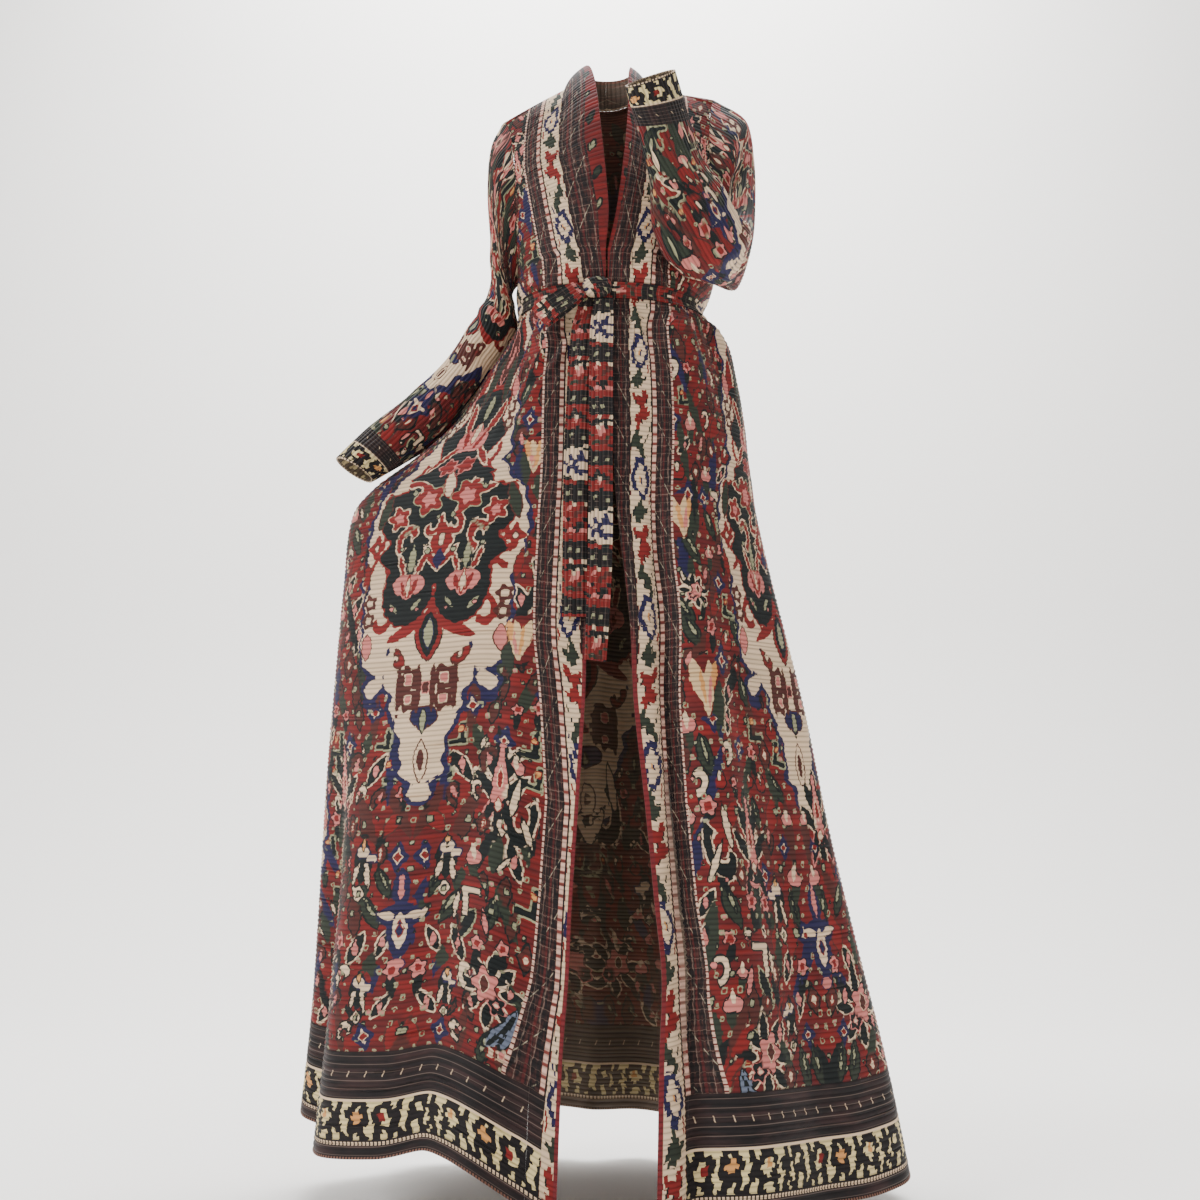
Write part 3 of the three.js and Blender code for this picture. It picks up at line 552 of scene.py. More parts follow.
RED = linear(124, 33, 31)
DEEP_RED = linear(92, 28, 28)
DARK = linear(27, 22, 23)
CREAM = linear(216, 188, 156)
NAVY = linear(34, 31, 66)
GREEN = linear(44, 50, 40)
BLACK_GREEN = linear(20, 25, 25)
PINK = linear(196, 116, 108)
BROWN = linear(78, 38, 33)
GOLD = linear(204, 144, 84)
YELLOW = linear(218, 198, 144)
GREY_BLUE = linear(100, 108, 126)
SAGE = linear(146, 144, 112)
TAN = linear(208, 176, 134)
PICK = {
    "r": RED, "d": DARK, "c": CREAM, "n": NAVY, "g": GREEN, "k": BLACK_GREEN, "p": PINK,
    "b": BROWN, "o": GOLD, "y": YELLOW, "s": SAGE, "w": GREY_BLUE, "t": TAN,
}


# Shapes of the print: how far a point lies inside, in mm, for a half width w and a half height h.
def leaf(x, y, w, h):
    return w * (1 - (y / h) ** 2) - np.abs(x)


def diamond(x, y, w, h):
    return (1 - np.abs(x) / w - np.abs(y) / h) * min(w, h) * 0.8


def block(x, y, w, h):
    return np.minimum(w - np.abs(x), h - np.abs(y))


def flower(x, y, w, h):
    turn = np.arctan2(y / h, x / w)
    return (1 + 0.24 * np.cos(5 * turn) - 1.24 * np.hypot(x / w, y / h)) * min(w, h) * 0.8


def cross(x, y, w, h):
    return np.maximum(leaf(x, y, w * 0.42, h), leaf(y, x, h * 0.42, w))


def hook(x, y, w, h):
    bend = np.hypot(x, y * w / h) - w * 0.75
    return np.minimum(w * 0.24 - np.abs(bend), x + y * 0.6 + w * 0.35)


def tulip(x, y, w, h):
    cup = np.minimum(leaf(x, y + h * 0.2, w, h * 0.8), y + h * 0.7)
    notch = leaf(np.abs(x) - w * 0.42, y - h * 0.75, w * 0.24, h * 0.55)
    return np.minimum(cup, -notch)


def bracket(x, y, w, h):
    arm = block(x + w * 0.6, y, w * 0.28, h)
    foot = block(x, y + h * 0.8, w, h * 0.2)
    return np.maximum(arm, foot)


LAYERS = 5
EDGES = (5.5, 1.8, 2.4, 1.9, 1.3)  # width of the line round each layer's shapes


class Print:
    """The print of one piece in layers: how far each point lies inside the nearest shape, and its colours."""

    def __init__(self, across, up):
        self.across, self.up = across, up
        self.row = up[:, 0]
        shape = across.shape
        self.inside = [np.full(shape, -60.0) for _ in range(LAYERS)]
        self.fill = [np.zeros(shape + (3,)) for _ in range(LAYERS)]
        self.edge = [np.zeros(shape + (3,)) for _ in range(LAYERS)]
        self.kept = np.full(shape, 60.0)  # small shapes stay this far off the big ones

    def merge(self, layer, part, inside, fill, edge):
        better = inside > self.inside[layer][part]
        self.inside[layer][part][better] = inside[better]
        self.fill[layer][part][better] = fill
        self.edge[layer][part][better] = edge

    def put(self, layer, shape, at, size, fill, edge, turn=0.0, within=None):
        """One shape at a place, turned, and kept within an area if one is given."""
        reach = math.hypot(*size) + 6
        rows = np.nonzero(np.abs(self.row - at[1]) < reach)[0]
        if not len(rows):
            return
        part = slice(rows[0], rows[-1] + 1)
        x, y = self.across[part] - at[0], self.up[part] - at[1]
        cos, sin = math.cos(math.radians(turn)), math.sin(math.radians(turn))
        inside = np.maximum(shape(x * cos + y * sin, y * cos - x * sin, *size), -30)
        inside = np.where(np.hypot(x, y) > reach, -60, inside)
        if within is not None:
            inside = np.minimum(inside, within[part])
        self.merge(layer, part, inside, fill, edge)

    def data(self):
        found = {}
        for k in range(LAYERS):
            found[f"in{k}"], found[f"fill{k}"], found[f"edge{k}"] = self.inside[k], self.fill[k], self.edge[k]
        return found


# The great medallion is a stack of ovals: how far each lies off the axis, its height and half sizes.
MEDALLION = table(
    "off up half_wide half_high",
    (0, 30, 112, 132), (0, 180, 74, 108), (0, 300, 52, 130), (78, -80, 26, 92), (0, -140, 62, 88),
    (0, -215, 34, 92),
)


def medallion_field(across, up, at, size):
    """How far a point lies inside the medallion: its ovals, with a scalloped edge."""
    x, y = (across - at[0]) / size[0], (up - at[1]) / size[1]
    inside = np.full(x.shape, -60.0)
    for off, high, half_wide, half_high in zip(*MEDALLION.values()):
        oval = (1 - np.hypot((np.abs(x) - off) / half_wide, (y - high) / half_high)) * half_wide
        inside = np.maximum(inside, oval)
    scallops = 5 * np.sin(y / 10.5) * np.cos(x / 14) + 2 * np.sin(y / 4.6)
    return (inside + scallops * (inside > -20)) * min(size)


def medallion(cloth, at, size):
    """A great medallion: a cream contour round a black-green ground of tulips and rosettes."""
    field = medallion_field(cloth.across, cloth.up, at, size)
    everywhere = slice(None)
    cloth.merge(0, everywhere, field, CREAM, NAVY)
    y = (cloth.up - at[1]) / size[1]
    swing = 6 * np.sin(y / 9.0 + 1)
    ground = np.minimum(field - 34 * min(size) + swing + 8 * (y > 120), (y + 30) * 0.8)
    for across, up, wide, high in MEDALLION_LOBES:
        x = np.abs(cloth.across - at[0]) / size[0] - across
        lobe = 1 - np.hypot(x / wide, (y - up) / high)
        ground = np.maximum(ground, lobe * wide + 1.6 * np.sin(x / 2.6) * np.cos(y / 3.1))
    cloth.merge(1, everywhere, ground + 5, RED, CREAM)
    cloth.merge(2, everywhere, ground, BLACK_GREEN, BLACK_GREEN)
    cloth.kept = np.minimum(cloth.kept, -field)
    for layer, shapes in ((1, MEDALLION_CURLS), (3, MEDALLION_SPRAYS), (4, MEDALLION_HEARTS)):
        for x, y, kind, w, h, fill, edge, turn in shapes:
            for flip in (-1, 1) if x else (1,):
                place = (at[0] + flip * x * size[0], at[1] + y * size[1])
                cloth.put(layer, kind, place, (w * size[0], h * size[1]), PICK[fill], PICK[edge], flip * turn)


# The lobes of its dark ground: how far each lies off the axis, its height and half sizes.
MEDALLION_LOBES = ((38, -38, 34, 46), (0, 184, 40, 52), (62, 66, 30, 34), (26, 96, 34, 34))
# What lies on the medallion's axis and on both sides of it: place, shape, half sizes, fill, line, turn.
MEDALLION_CURLS = (
    (0, 34, leaf, 11, 34, "r", "c", 0),
    (64, -22, leaf, 8, 38, "r", "c", -26),
    (74, 52, leaf, 8, 28, "r", "c", 34),
    (98, 26, cross, 16, 20, "r", "c", 0),
    (90, -2, hook, 13, 20, "r", "c", 30),
    (84, 84, hook, 12, 20, "r", "c", -20),
    (0, -100, leaf, 18, 38, "r", "k", 0),
    (34, -94, leaf, 8, 34, "r", "c", 62),
    (50, 118, leaf, 8, 30, "r", "c", 26),
    (26, 150, leaf, 7, 24, "r", "c", -32),
    (46, 150, hook, 13, 22, "r", "c", 160),
    (70, -72, hook, 17, 24, "r", "c", 200),
    (0, -56, leaf, 6, 20, "r", "c", 0),
    (40, 252, leaf, 7, 34, "r", "b", 8),
    (0, -214, tulip, 18, 24, "n", "b", 180),
)
MEDALLION_SPRAYS = (
    (38, -36, tulip, 23, 27, "p", "k", 180),
    (38, 4, leaf, 4.5, 22, "s", "k", 0),
    (24, -4, leaf, 3, 19, "r", "c", 20),
    (52, -4, leaf, 3, 19, "r", "c", -20),
    (27, 88, flower, 23, 24, "r", "s", 0),
    (68, 64, flower, 17, 18, "r", "c", 0),
    (50, 44, leaf, 3.4, 16, "s", "k", 62),
    (0, 26, diamond, 17, 28, "r", "c", 0),
    (12, 4, leaf, 4, 20, "r", "c", -34),
    (0, 106, leaf, 7, 20, "c", "r", 0),
    (50, 30, hook, 15, 22, "r", "c", 10),
    (14, 52, hook, 12, 18, "r", "c", 200),
    (48, 104, hook, 13, 19, "r", "c", 100),
    (30, 148, leaf, 4, 22, "r", "c", 40),
    (22, -58, leaf, 3, 12, "s", "k", 40),
    (56, -62, leaf, 3, 12, "s", "k", -40),
    (0, 178, tulip, 25, 31, "p", "k", 0),
    (0, 220, leaf, 5, 22, "s", "k", 0),
    (26, 204, leaf, 6, 26, "r", "c", -24),
    (13, 134, flower, 12, 12, "r", "p", 0),
    (95, -52, flower, 11, 11, "b", "b", 0),
    (95, -76, flower, 11, 11, "b", "b", 0),
    (94, -112, leaf, 8, 18, "p", "b", 0),
    (92, 76, leaf, 7, 26, "g", "b", 16),
    (108, -14, leaf, 5, 20, "r", "b", -6),
    (60, 190, flower, 10, 11, "b", "b", 0),
    (58, 213, flower, 10, 11, "b", "b", 0),
    (54, 244, leaf, 7, 18, "p", "b", 0),
    (24, -160, flower, 16, 18, "b", "b", 0),
    (24, -187, flower, 13, 16, "b", "b", 0),
    (38, -172, leaf, 2.4, 32, "b", "b", 0),
    (10, -172, leaf, 2.4, 28, "b", "b", 0),
    (44, -130, hook, 9, 15, "r", "b", 150),
    (0, -100, leaf, 11, 29, "k", "k", 0),
    (0, -266, leaf, 8, 26, "c", "b", 0),
    (17, 262, leaf, 7, 38, "g", "b", 8),
    (0, 300, leaf, 9, 44, "b", "p", 0),
    (20, 346, leaf, 6, 34, "r", "b", 6),
    (0, 400, leaf, 8, 34, "g", "b", 0),
)
MEDALLION_HEARTS = (
    (0, -100, leaf, 6, 20, "s", "n", 0),
    (0, -100, leaf, 2.5, 10, "n", "c", 0),
    (0, 2, diamond, 8, 12, "n", "n", 0),
    (38, -32, leaf, 3, 16, "c", "r", 0),
    (46, -34, leaf, 2, 12, "r", "r", -20),
    (30, -34, leaf, 2, 12, "r", "r", 20),
    (27, 88, flower, 12, 13, "p", "r", 0),
    (27, 88, diamond, 4, 5, "b", "c", 0),
    (68, 64, flower, 8, 9, "p", "r", 0),
    (0, 28, block, 3, 8, "c", "b", 0),
    (98, 26, diamond, 4, 6, "c", "b", 0),
    (95, -52, block, 3.4, 3.6, "c", "c", 0),
    (95, -76, block, 3.4, 3.6, "c", "c", 0),
    (60, 190, block, 3.2, 3.6, "c", "c", 0),
    (58, 213, block, 3.2, 3.6, "c", "c", 0),
    (24, -160, block, 4.5, 6, "p", "c", 0),
    (24, -187, block, 4, 5, "p", "c", 0),
    (0, -172, block, 4, 7, "b", "p", 0),
    (0, -214, leaf, 3.5, 16, "s", "k", 0),
    (0, -266, leaf, 3, 13, "b", "b", 0),
    (0, 182, leaf, 5, 17, "c", "r", 0),
    (12, 172, leaf, 2.4, 12, "r", "r", -22),
    (0, 300, leaf, 3, 22, "p", "b", 0),
    (18, 14, diamond, 3.5, 4, "s", "k", 0),
    (56, 20, diamond, 3.5, 4, "s", "k", 0),
    (10, 62, diamond, 3.5, 4, "s", "k", 0),
    (50, 100, diamond, 3.5, 4, "s", "k", 0),
    (20, -66, diamond, 3, 3.5, "p", "k", 0),
    (58, -62, diamond, 3, 3.5, "p", "k", 0),
)


def scatter(cloth, at, shapes, size=1.0, flip=1):
    """The shapes of one motif round its middle: layer, shape, place, half sizes, fill, line, turn."""
    for layer, kind, x, y, w, h, fill, edge, turn in shapes:
        place = (at[0] + flip * x * size, at[1] + y * size)
        cloth.put(layer, kind, place, (w * size, h * size), PICK[fill], PICK[edge], flip * turn)
    cloth.kept = np.minimum(cloth.kept, np.hypot(cloth.across - at[0], (cloth.up - at[1]) * 0.7) - 17 * size)


def lay_motifs(cloth, motifs):
    """The large motifs of a piece, where None stands for the medallion."""
    for motif, at, size in motifs:
        if motif is None:
            medallion(cloth, at, size)
        else:
            scatter(cloth, at, motif, size)


# A tall jagged palmette with a pink heart, on a forked stem.
PALMETTE = (
    (2, leaf, 0, 36, 7, 25, "k", "c", 0), (2, leaf, 11, 27, 6, 22, "k", "c", -22),
    (2, leaf, -11, 27, 6, 22, "k", "c", 22), (2, leaf, 17, 4, 6, 22, "k", "c", -40),
    (2, leaf, -17, 4, 6, 22, "k", "c", 40), (2, leaf, 11, -26, 5, 22, "k", "p", 24),
    (2, leaf, -11, -26, 5, 22, "k", "p", -24), (2, leaf, 0, -34, 5, 22, "k", "c", 0),
    (3, leaf, 0, 8, 8, 28, "p", "k", 0), (3, block, 5, -8, 4, 7, "p", "k", 0),
    (3, block, -6, 0, 3, 8, "c", "k", 0), (4, leaf, 0, 12, 3, 12, "r", "c", 0),
    (4, diamond, 0, -16, 5, 7, "c", "r", 0), (4, leaf, 0, 40, 2, 12, "p", "p", 0),
)
# A pink rosette beside a dark star, in a ring of cream-edged leaves.
ROSETTE = (
    (2, leaf, 14, 20, 6, 15, "k", "c", -30), (2, leaf, -4, 27, 6, 16, "k", "c", 8),
    (2, leaf, 27, 0, 6, 15, "k", "c", -84), (2, leaf, 19, -19, 6, 15, "k", "c", 46),
    (2, leaf, 0, -27, 6, 15, "k", "c", 4), (2, leaf, -18, -19, 6, 15, "k", "c", -44),
    (2, leaf, -27, 3, 6, 15, "k", "c", 80), (2, leaf, -18, 19, 6, 15, "k", "c", 40),
    (3, flower, 4, 4, 18, 20, "p", "k", 0), (3, flower, -11, -12, 11, 11, "k", "p", 0),
    (4, leaf, 6, 5, 5, 9, "b", "c", 0), (4, diamond, -11, -12, 3.5, 3.5, "c", "p", 0),
)
# A navy and cream cross of petals on a stem.
STAR_CROSS = (
    (2, leaf, 0, 32, 9, 24, "n", "n", 0), (2, leaf, 0, 0, 13, 32, "n", "n", 90),
    (2, leaf, 0, -20, 15, 30, "n", "n", 0), (3, leaf, 0, 34, 4, 18, "p", "n", 0),
    (3, leaf, -17, 1, 5, 12, "c", "n", 80), (3, leaf, 17, 1, 5, 12, "c", "n", -80),
    (3, leaf, 0, -16, 9, 22, "c", "n", 0), (4, diamond, 0, -16, 5, 9, "n", "r", 0),
    (3, tulip, 0, -56, 8, 10, "p", "n", 180),
)
# A pair of cups: cream over navy, on hooked cream stems.
CUPS = (
    (2, leaf, 0, 0, 12, 26, "k", "k", 0), (3, tulip, 0, 14, 9, 13, "c", "n", 0),
    (3, block, -12, 4, 7, 4, "c", "n", 0), (3, leaf, 9, -14, 3, 16, "c", "k", 14),
    (3, leaf, -8, -16, 3, 18, "c", "k", -10), (4, leaf, 0, 20, 2, 9, "o", "k", 0),
    (3, diamond, 2, -40, 8, 10, "c", "k", 0), (4, block, 2, -40, 2, 3, "s", "k", 0),
)
# A big hooked leaf with a cream line, and a long cream bracket.
HOOK_LEAF = (
    (2, hook, 0, 0, 18, 34, "k", "c", 190), (3, leaf, 10, 20, 4, 24, "c", "k", 10),
    (3, leaf, -8, -16, 3.5, 22, "c", "k", -24),
)
BRACKETS = (
    (3, bracket, 0, 0, 14, 17, "c", "k", 180), (3, leaf, 22, -6, 3.5, 16, "c", "k", 10),
    (2, leaf, 4, -26, 7, 22, "k", "s", 30), (3, leaf, -22, -20, 4, 16, "p", "k", -14),
)
# The blue-grey wing in the field's lower corner.
WING = (
    (3, leaf, 0, 0, 8, 30, "w", "k", 18), (3, leaf, 12, -10, 8, 30, "w", "k", 40),
    (4, leaf, 3, -2, 1.2, 24, "k", "k", 24), (4, leaf, 12, -9, 1.2, 24, "k", "k", 38),
    (3, block, 8, -34, 4, 5, "p", "c", 0), (3, block, 22, -36, 4, 5, "c", "r", 0),
)
# The tan patches with gold combs along the border.
PATCH = (
    (3, leaf, -6, 4, 6, 22, "t", "t", 16), (3, leaf, 4, -2, 6, 26, "t", "t", -6),
    (3, leaf, 11, 8, 4, 16, "o", "o", -20), (4, leaf, -2, 0, 1.4, 17, "o", "o", 8),
    (4, leaf, 6, -6, 1.2, 12, "p", "p", -8), (2, leaf, 16, -20, 7, 26, "g", "g", -10),
)
# The small sprigs of the field round the middle of one cell.
SPRIGS = (
    ((2, leaf, 0, 2, 5.5, 16, "g", "g", 8), (3, leaf, 7, -4, 2, 9, "c", "k", -24)),
    ((3, flower, 0, 3, 7.5, 8, "p", "k", 0), (4, block, 0, 3, 2, 2.2, "r", "r", 0),
     (2, leaf, 0, -9, 3, 10, "k", "k", 0)),
    ((2, hook, 0, 0, 10, 15, "b", "k", 14), (4, leaf, -2, 4, 1.4, 6, "p", "p", 14)),
    ((3, hook, 0, 0, 8, 12, "c", "k", 20), (4, diamond, 4, 4, 2.4, 3.2, "p", "k", 0)),
    ((2, tulip, 0, 0, 8, 14, "r", "k", 0), (4, leaf, 0, 2, 1.6, 6, "c", "k", 0)),
    ((2, leaf, 0, 0, 6, 17, "b", "k", -10), (4, block, 2, 3, 2, 2.8, "s", "k", 0)),
    ((2, bracket, 0, 0, 10, 12, "k", "s", 0), (4, block, 4, 5, 2.2, 2.4, "o", "r", 0)),
    ((2, cross, 0, 0, 11, 13, "n", "n", 0), (3, cross, 0, 0, 6, 8, "c", "n", 0),
     (4, diamond, 0, 0, 3, 3, "r", "r", 0)),
    ((2, leaf, 0, 0, 5.5, 17, "k", "c", 30), (4, diamond, 0, 0, 2.2, 5, "p", "p", 0)),
    ((2, leaf, 0, 0, 7, 16, "r", "b", 26), (3, block, -7, 3, 2.4, 3, "s", "k", 0)),
    ((3, tulip, 0, 0, 8, 11, "p", "k", 0), (4, leaf, 0, 3, 1.6, 6, "c", "c", 0),
     (2, leaf, 0, -8, 4, 13, "g", "g", 0)),
    ((2, diamond, 0, 0, 9, 14, "b", "k", 0), (4, diamond, 0, 0, 3, 5, "c", "r", 0)),
    ((2, leaf, 0, 0, 6, 18, "g", "k", -22), (3, leaf, 0, 4, 1.6, 10, "s", "k", -22)),
)
# How far apart the field's sprigs, its dark leaves and its tiny boxes lie, across and up.
CELL = (31.0, 36.0)
TRUNK_CELL = (60, 66)
BOX_CELL = (17, 15.5)
CLEARANCE = 6.5  # from the large motifs


def sprinkle(cloth, axis, low, high, seed, span, cell=CELL):
    """Small shapes mirrored on an axis, clear of the large ones: dark leaves, sprigs and tiny boxes."""
    draw = np.random.default_rng(seed)
    room = cloth.kept - CLEARANCE
    width = max(abs(span[0] - axis), abs(span[1] - axis))

    def both_sides(x, y, shapes, size, tilt, room):
        for flip in (-1, 1):
            if span[0] < axis + flip * x < span[1]:
                for layer, kind, dx, dy, w, h, fill, edge, turn in shapes:
                    place = (axis + flip * (x + dx * size), y + dy * size)
                    cloth.put(layer, kind, place, (w * size, h * size), PICK[fill], PICK[edge],
                              flip * (turn + tilt), room)

    for row in range(int((high - low) / TRUNK_CELL[1])):
        for x in np.arange(14 + 28 * (row % 2), width, TRUNK_CELL[0]):
            dark = "bgkn"[draw.integers(4)]
            shape = (2, leaf, 0, 0, draw.uniform(4, 7.5), draw.uniform(24, 42), dark, dark, 0)
            x += draw.uniform(-9, 9)
            y = low + TRUNK_CELL[1] * row + draw.uniform(0, 40)
            both_sides(x, y, (shape,), 1.0, draw.uniform(-32, 32), room)
    for row in range(int((high - low) / cell[1])):
        for column in range(int(width / cell[0]) + 1):
            x = (column + 0.5 + 0.5 * (row % 2)) * cell[0] + draw.uniform(-5, 5)
            y = low + (row + 0.5) * cell[1] + draw.uniform(-5, 5)
            both_sides(x, y, SPRIGS[draw.integers(len(SPRIGS))], draw.uniform(0.95, 1.55),
                       draw.uniform(-16, 16), room)
    gaps = np.minimum(room, -np.maximum(cloth.inside[2], cloth.inside[3]) - 1.5)
    for row in range(int((high - low) / BOX_CELL[1])):
        for column in range(int(width / BOX_CELL[0]) + 1):
            fill = "rsrp"[draw.integers(4)]
            box = (4, block, 0, 0, 1.6, 2.0, fill, "k" if fill == "s" else "s", 0)
            x = (column + 0.5 * (row % 2)) * BOX_CELL[0] + draw.uniform(-2, 2)
            y = low + row * BOX_CELL[1] + draw.uniform(-2, 2)
            both_sides(x, y, (box,), 1.0, 0, gaps)


# Nodes of the cloth's material, written as sums of named values.
class Value:
    """One number that a material works out at each point."""

    def __init__(self, tree, socket):
        self.tree, self.socket = tree, socket

    def sum(self, kind, *others, clamp=False):
        node = self.tree.nodes.new("ShaderNodeMath")
        node.operation = kind
        node.use_clamp = clamp
        for slot, other in zip(node.inputs, (self, *others)):
            if isinstance(other, Value):
                self.tree.links.new(other.socket, slot)
            else:
                slot.default_value = other
        return Value(self.tree, node.outputs[0])

    def __add__(self, other):
        return self.sum("ADD", other)

    def __sub__(self, other):
        return self.sum("SUBTRACT", other)

    def __mul__(self, other):
        return self.sum("MULTIPLY", other)

    def __truediv__(self, other):
        return self.sum("DIVIDE", other)

    def __neg__(self):
        return self.sum("MULTIPLY", -1.0)

    def floor(self):
        return self.sum("FLOOR")

    def fract(self):
        return self.sum("FRACT")

    def size(self):
        return self.sum("ABSOLUTE")

    def soft(self, width=LINE):
        """0 well below nought and 1 above it, with a soft step."""
        return (self / width + 0.5).sum("MULTIPLY", 1.0, clamp=True)

    def above(self, other):
        return self.sum("GREATER_THAN", other)


def attribute(tree, name, colour=False):
    node = tree.nodes.new("ShaderNodeAttribute")
    node.attribute_name = name
    return node.outputs["Color"] if colour else Value(tree, node.outputs["Fac"])


def mix(tree, share, first, second):
    """One colour laid over another; a colour is a socket or three numbers."""
    node = tree.nodes.new("ShaderNodeMix")
    node.data_type = "RGBA"
    node.clamp_factor = True
    if isinstance(share, Value):
        tree.links.new(share.socket, node.inputs[0])
    else:
        node.inputs[0].default_value = share
    for slot, colour in ((node.inputs[6], first), (node.inputs[7], second)):
        if isinstance(colour, tuple):
            slot.default_value = (*colour, 1)
        else:
            tree.links.new(colour, slot)
    return node.outputs[2]


def chart_row(tree, x, row):
    """One row of a chart as a ramp of flat colours; a ramp holds few stops, so a long row is halved."""
    if len(row) > 30:
        half = len(row) // 2
        share = half / len(row)
        left = chart_row(tree, x / share, row[:half])
        return mix(tree, x.above(share), left, chart_row(tree, (x - share) / (1 - share), row[half:]))
    ramp = tree.nodes.new("ShaderNodeValToRGB")
    ramp.color_ramp.interpolation = "CONSTANT"
    tree.links.new(x.socket, ramp.inputs[0])
    stops = [i for i in range(len(row)) if i == 0 or row[i] != row[i - 1]]
    elements = ramp.color_ramp.elements
    while len(elements) < len(stops):
        elements.new(1.0)
    while len(elements) > len(stops):
        elements.remove(elements[-1])
    for stop, i in zip(elements, stops):
        stop.position = i / len(row)
        stop.color = (*PICK[row[i]], 1)
    return ramp.outputs[0]


def chart(tree, x, y, rows):
    """A charted repeat: x and y run from 0 to 1 over it, and each letter is a colour."""
    colour = chart_row(tree, x, rows[-1])
    for k in range(1, len(rows)):
        colour = mix(tree, y.above(k / len(rows)), colour, chart_row(tree, x, rows[-1 - k]))
    return colour


# The vine of the front border for one repeat upwards: a navy rosette, a red zigzag and dark leaves.
VINE = (
    "ccgggccccccccc",
    "cggggggccckccc",
    "ckgggggggccccc",
    "cccckgggggcccc",
    "ccccccckggcncc",
    "cccnnnnnnccccc",
    "ccnnncccnnnccc",
    "cnnnccccccnnnc",
    "cnnccconcccnnc",
    "cnnnccccccnnnc",
    "ccnnncccnnnccc",
    "ccccnnnnncccrc",
    "cccccggcccccrc",
    "ccccggggcccccc",
    "cckgggggggkccc",
    "cggggggggccccc",
    "cccggggccccccc",
    "ccccccccrrrccc",
    "crrccccrrrrrcc",
    "crrrrrrrrrkccc",
    "cckrrrrrrccccc",
    "ccccckrrrrrccc",
    "cccccrrrrrrrrc",
    "cccrrrrrrrkccc",
    "ccrrrrkccccccc",
    "cccrrcccccccgc",
)
# The great border of the hem and cuffs: blocky shapes on a yellow cream ground, one repeat round.
HEM_CHART = (
    "ddddyyyddyydddyyyyydddddyyyddyydddddyyyyddyd",
    "dddddyyddyddddddyydddydddyyddydddddddyyyddyd",
    "dyyddyydddddyydddydddoodddydddddyoyddydddddd",
    "dyydddyyddddyrrddyddooooddyydddyyooyddyddddy",
    "ddddddyydddyyrrddydddooddyyyddddyyyddyyddddy",
    "ddddddyydddyyyddyydddddddyyddddddyddddyyddyy",
    "ddyyddyyddddddddyyyddddddyyddydddddddyyddddy",
    "ddyyddydddddyddddyydddyddyddyyddyyydddyddydd",
    "ddyydddddyddyydddydddyydddddyydddyyyddydddyd",
)
VINE_REPEAT = 182.0
HEM_REPEAT = 172.0
# Where the front border's strips end, in mm from its outer line, and the hem's, in mm from the hem.
BORDER = {"plaid": 27, "line": 29, "vine": 56, "rule": 58, "beads": 63, "inner": 83, "dots": 85.5}
HEM = {"picot": 3, "dark": 16, "beads": 20, "rule": 22, "great": 66, "line": 69, "band": 124}


def pattern(tree, kind, *place, detail=2.0):
    """A texture node's number at one or two coordinates."""
    node = tree.nodes.new(kind)
    node.noise_dimensions = f"{len(place)}D"
    if "Scale" in node.inputs:
        node.inputs["Scale"].default_value = 1.0
        node.inputs["Detail"].default_value = detail
    if len(place) == 1:
        tree.links.new(place[0].socket, node.inputs["W"])
        return Value(tree, node.outputs[0])
    join = tree.nodes.new("ShaderNodeCombineXYZ")
    for value, slot in zip(place, join.inputs):
        tree.links.new(value.socket, slot)
    tree.links.new(join.outputs[0], node.inputs["Vector"])
    return Value(tree, node.outputs[0])


def lines(place, pitch, width, softness):
    """1 on thin lines half a pitch past each whole one, and 0 between them."""
    return (((place / pitch).fract() - 0.5).size() * -pitch + width).soft(softness)


def plaid(tree, x, y):
    """Dark ground with thin uneven lines both ways, red lines and a few slanting slips."""
    thread = pattern(tree, "ShaderNodeTexNoise", x * 0.35, y * 0.05)
    ground = mix(tree, (thread - 0.45) * 3.0, DARK, linear(78, 44, 40))
    upright = lines(x + (thread - 0.5) * 5.0, 9.3, 0.3, 0.6) * (thread - 0.1) * 0.9
    level = lines(y + thread * 4.4, 11.0, 0.4, 0.7) * (thread - 0.36).soft(0.3) * 0.4
    reds = lines(x + 3.753, 13.9, 1.0, 1.0) * 0.45
    slips = lines(y + x * 2.2, 61.0, 0.9, 0.8) * (thread - 0.5).soft(0.1) * 0.8
    colour = mix(tree, reds, ground, linear(112, 38, 38))
    colour = mix(tree, level, colour, linear(150, 122, 108))
    colour = mix(tree, upright, colour, linear(176, 148, 132))
    return mix(tree, slips, colour, linear(176, 166, 142))


def beads(tree, y, pitch, ground, colour, share=0.62):
    return mix(tree, (((y / pitch).fract() - 0.5).size() * -2.0 + share).soft(0.2), ground, colour)


def strip(tree, place, low, high, colour, strip_colour):
    """Lays a colour over another where place is between low and high."""
    share = (place - low).soft() * (-(place - high)).soft()
    return mix(tree, share, colour, strip_colour)


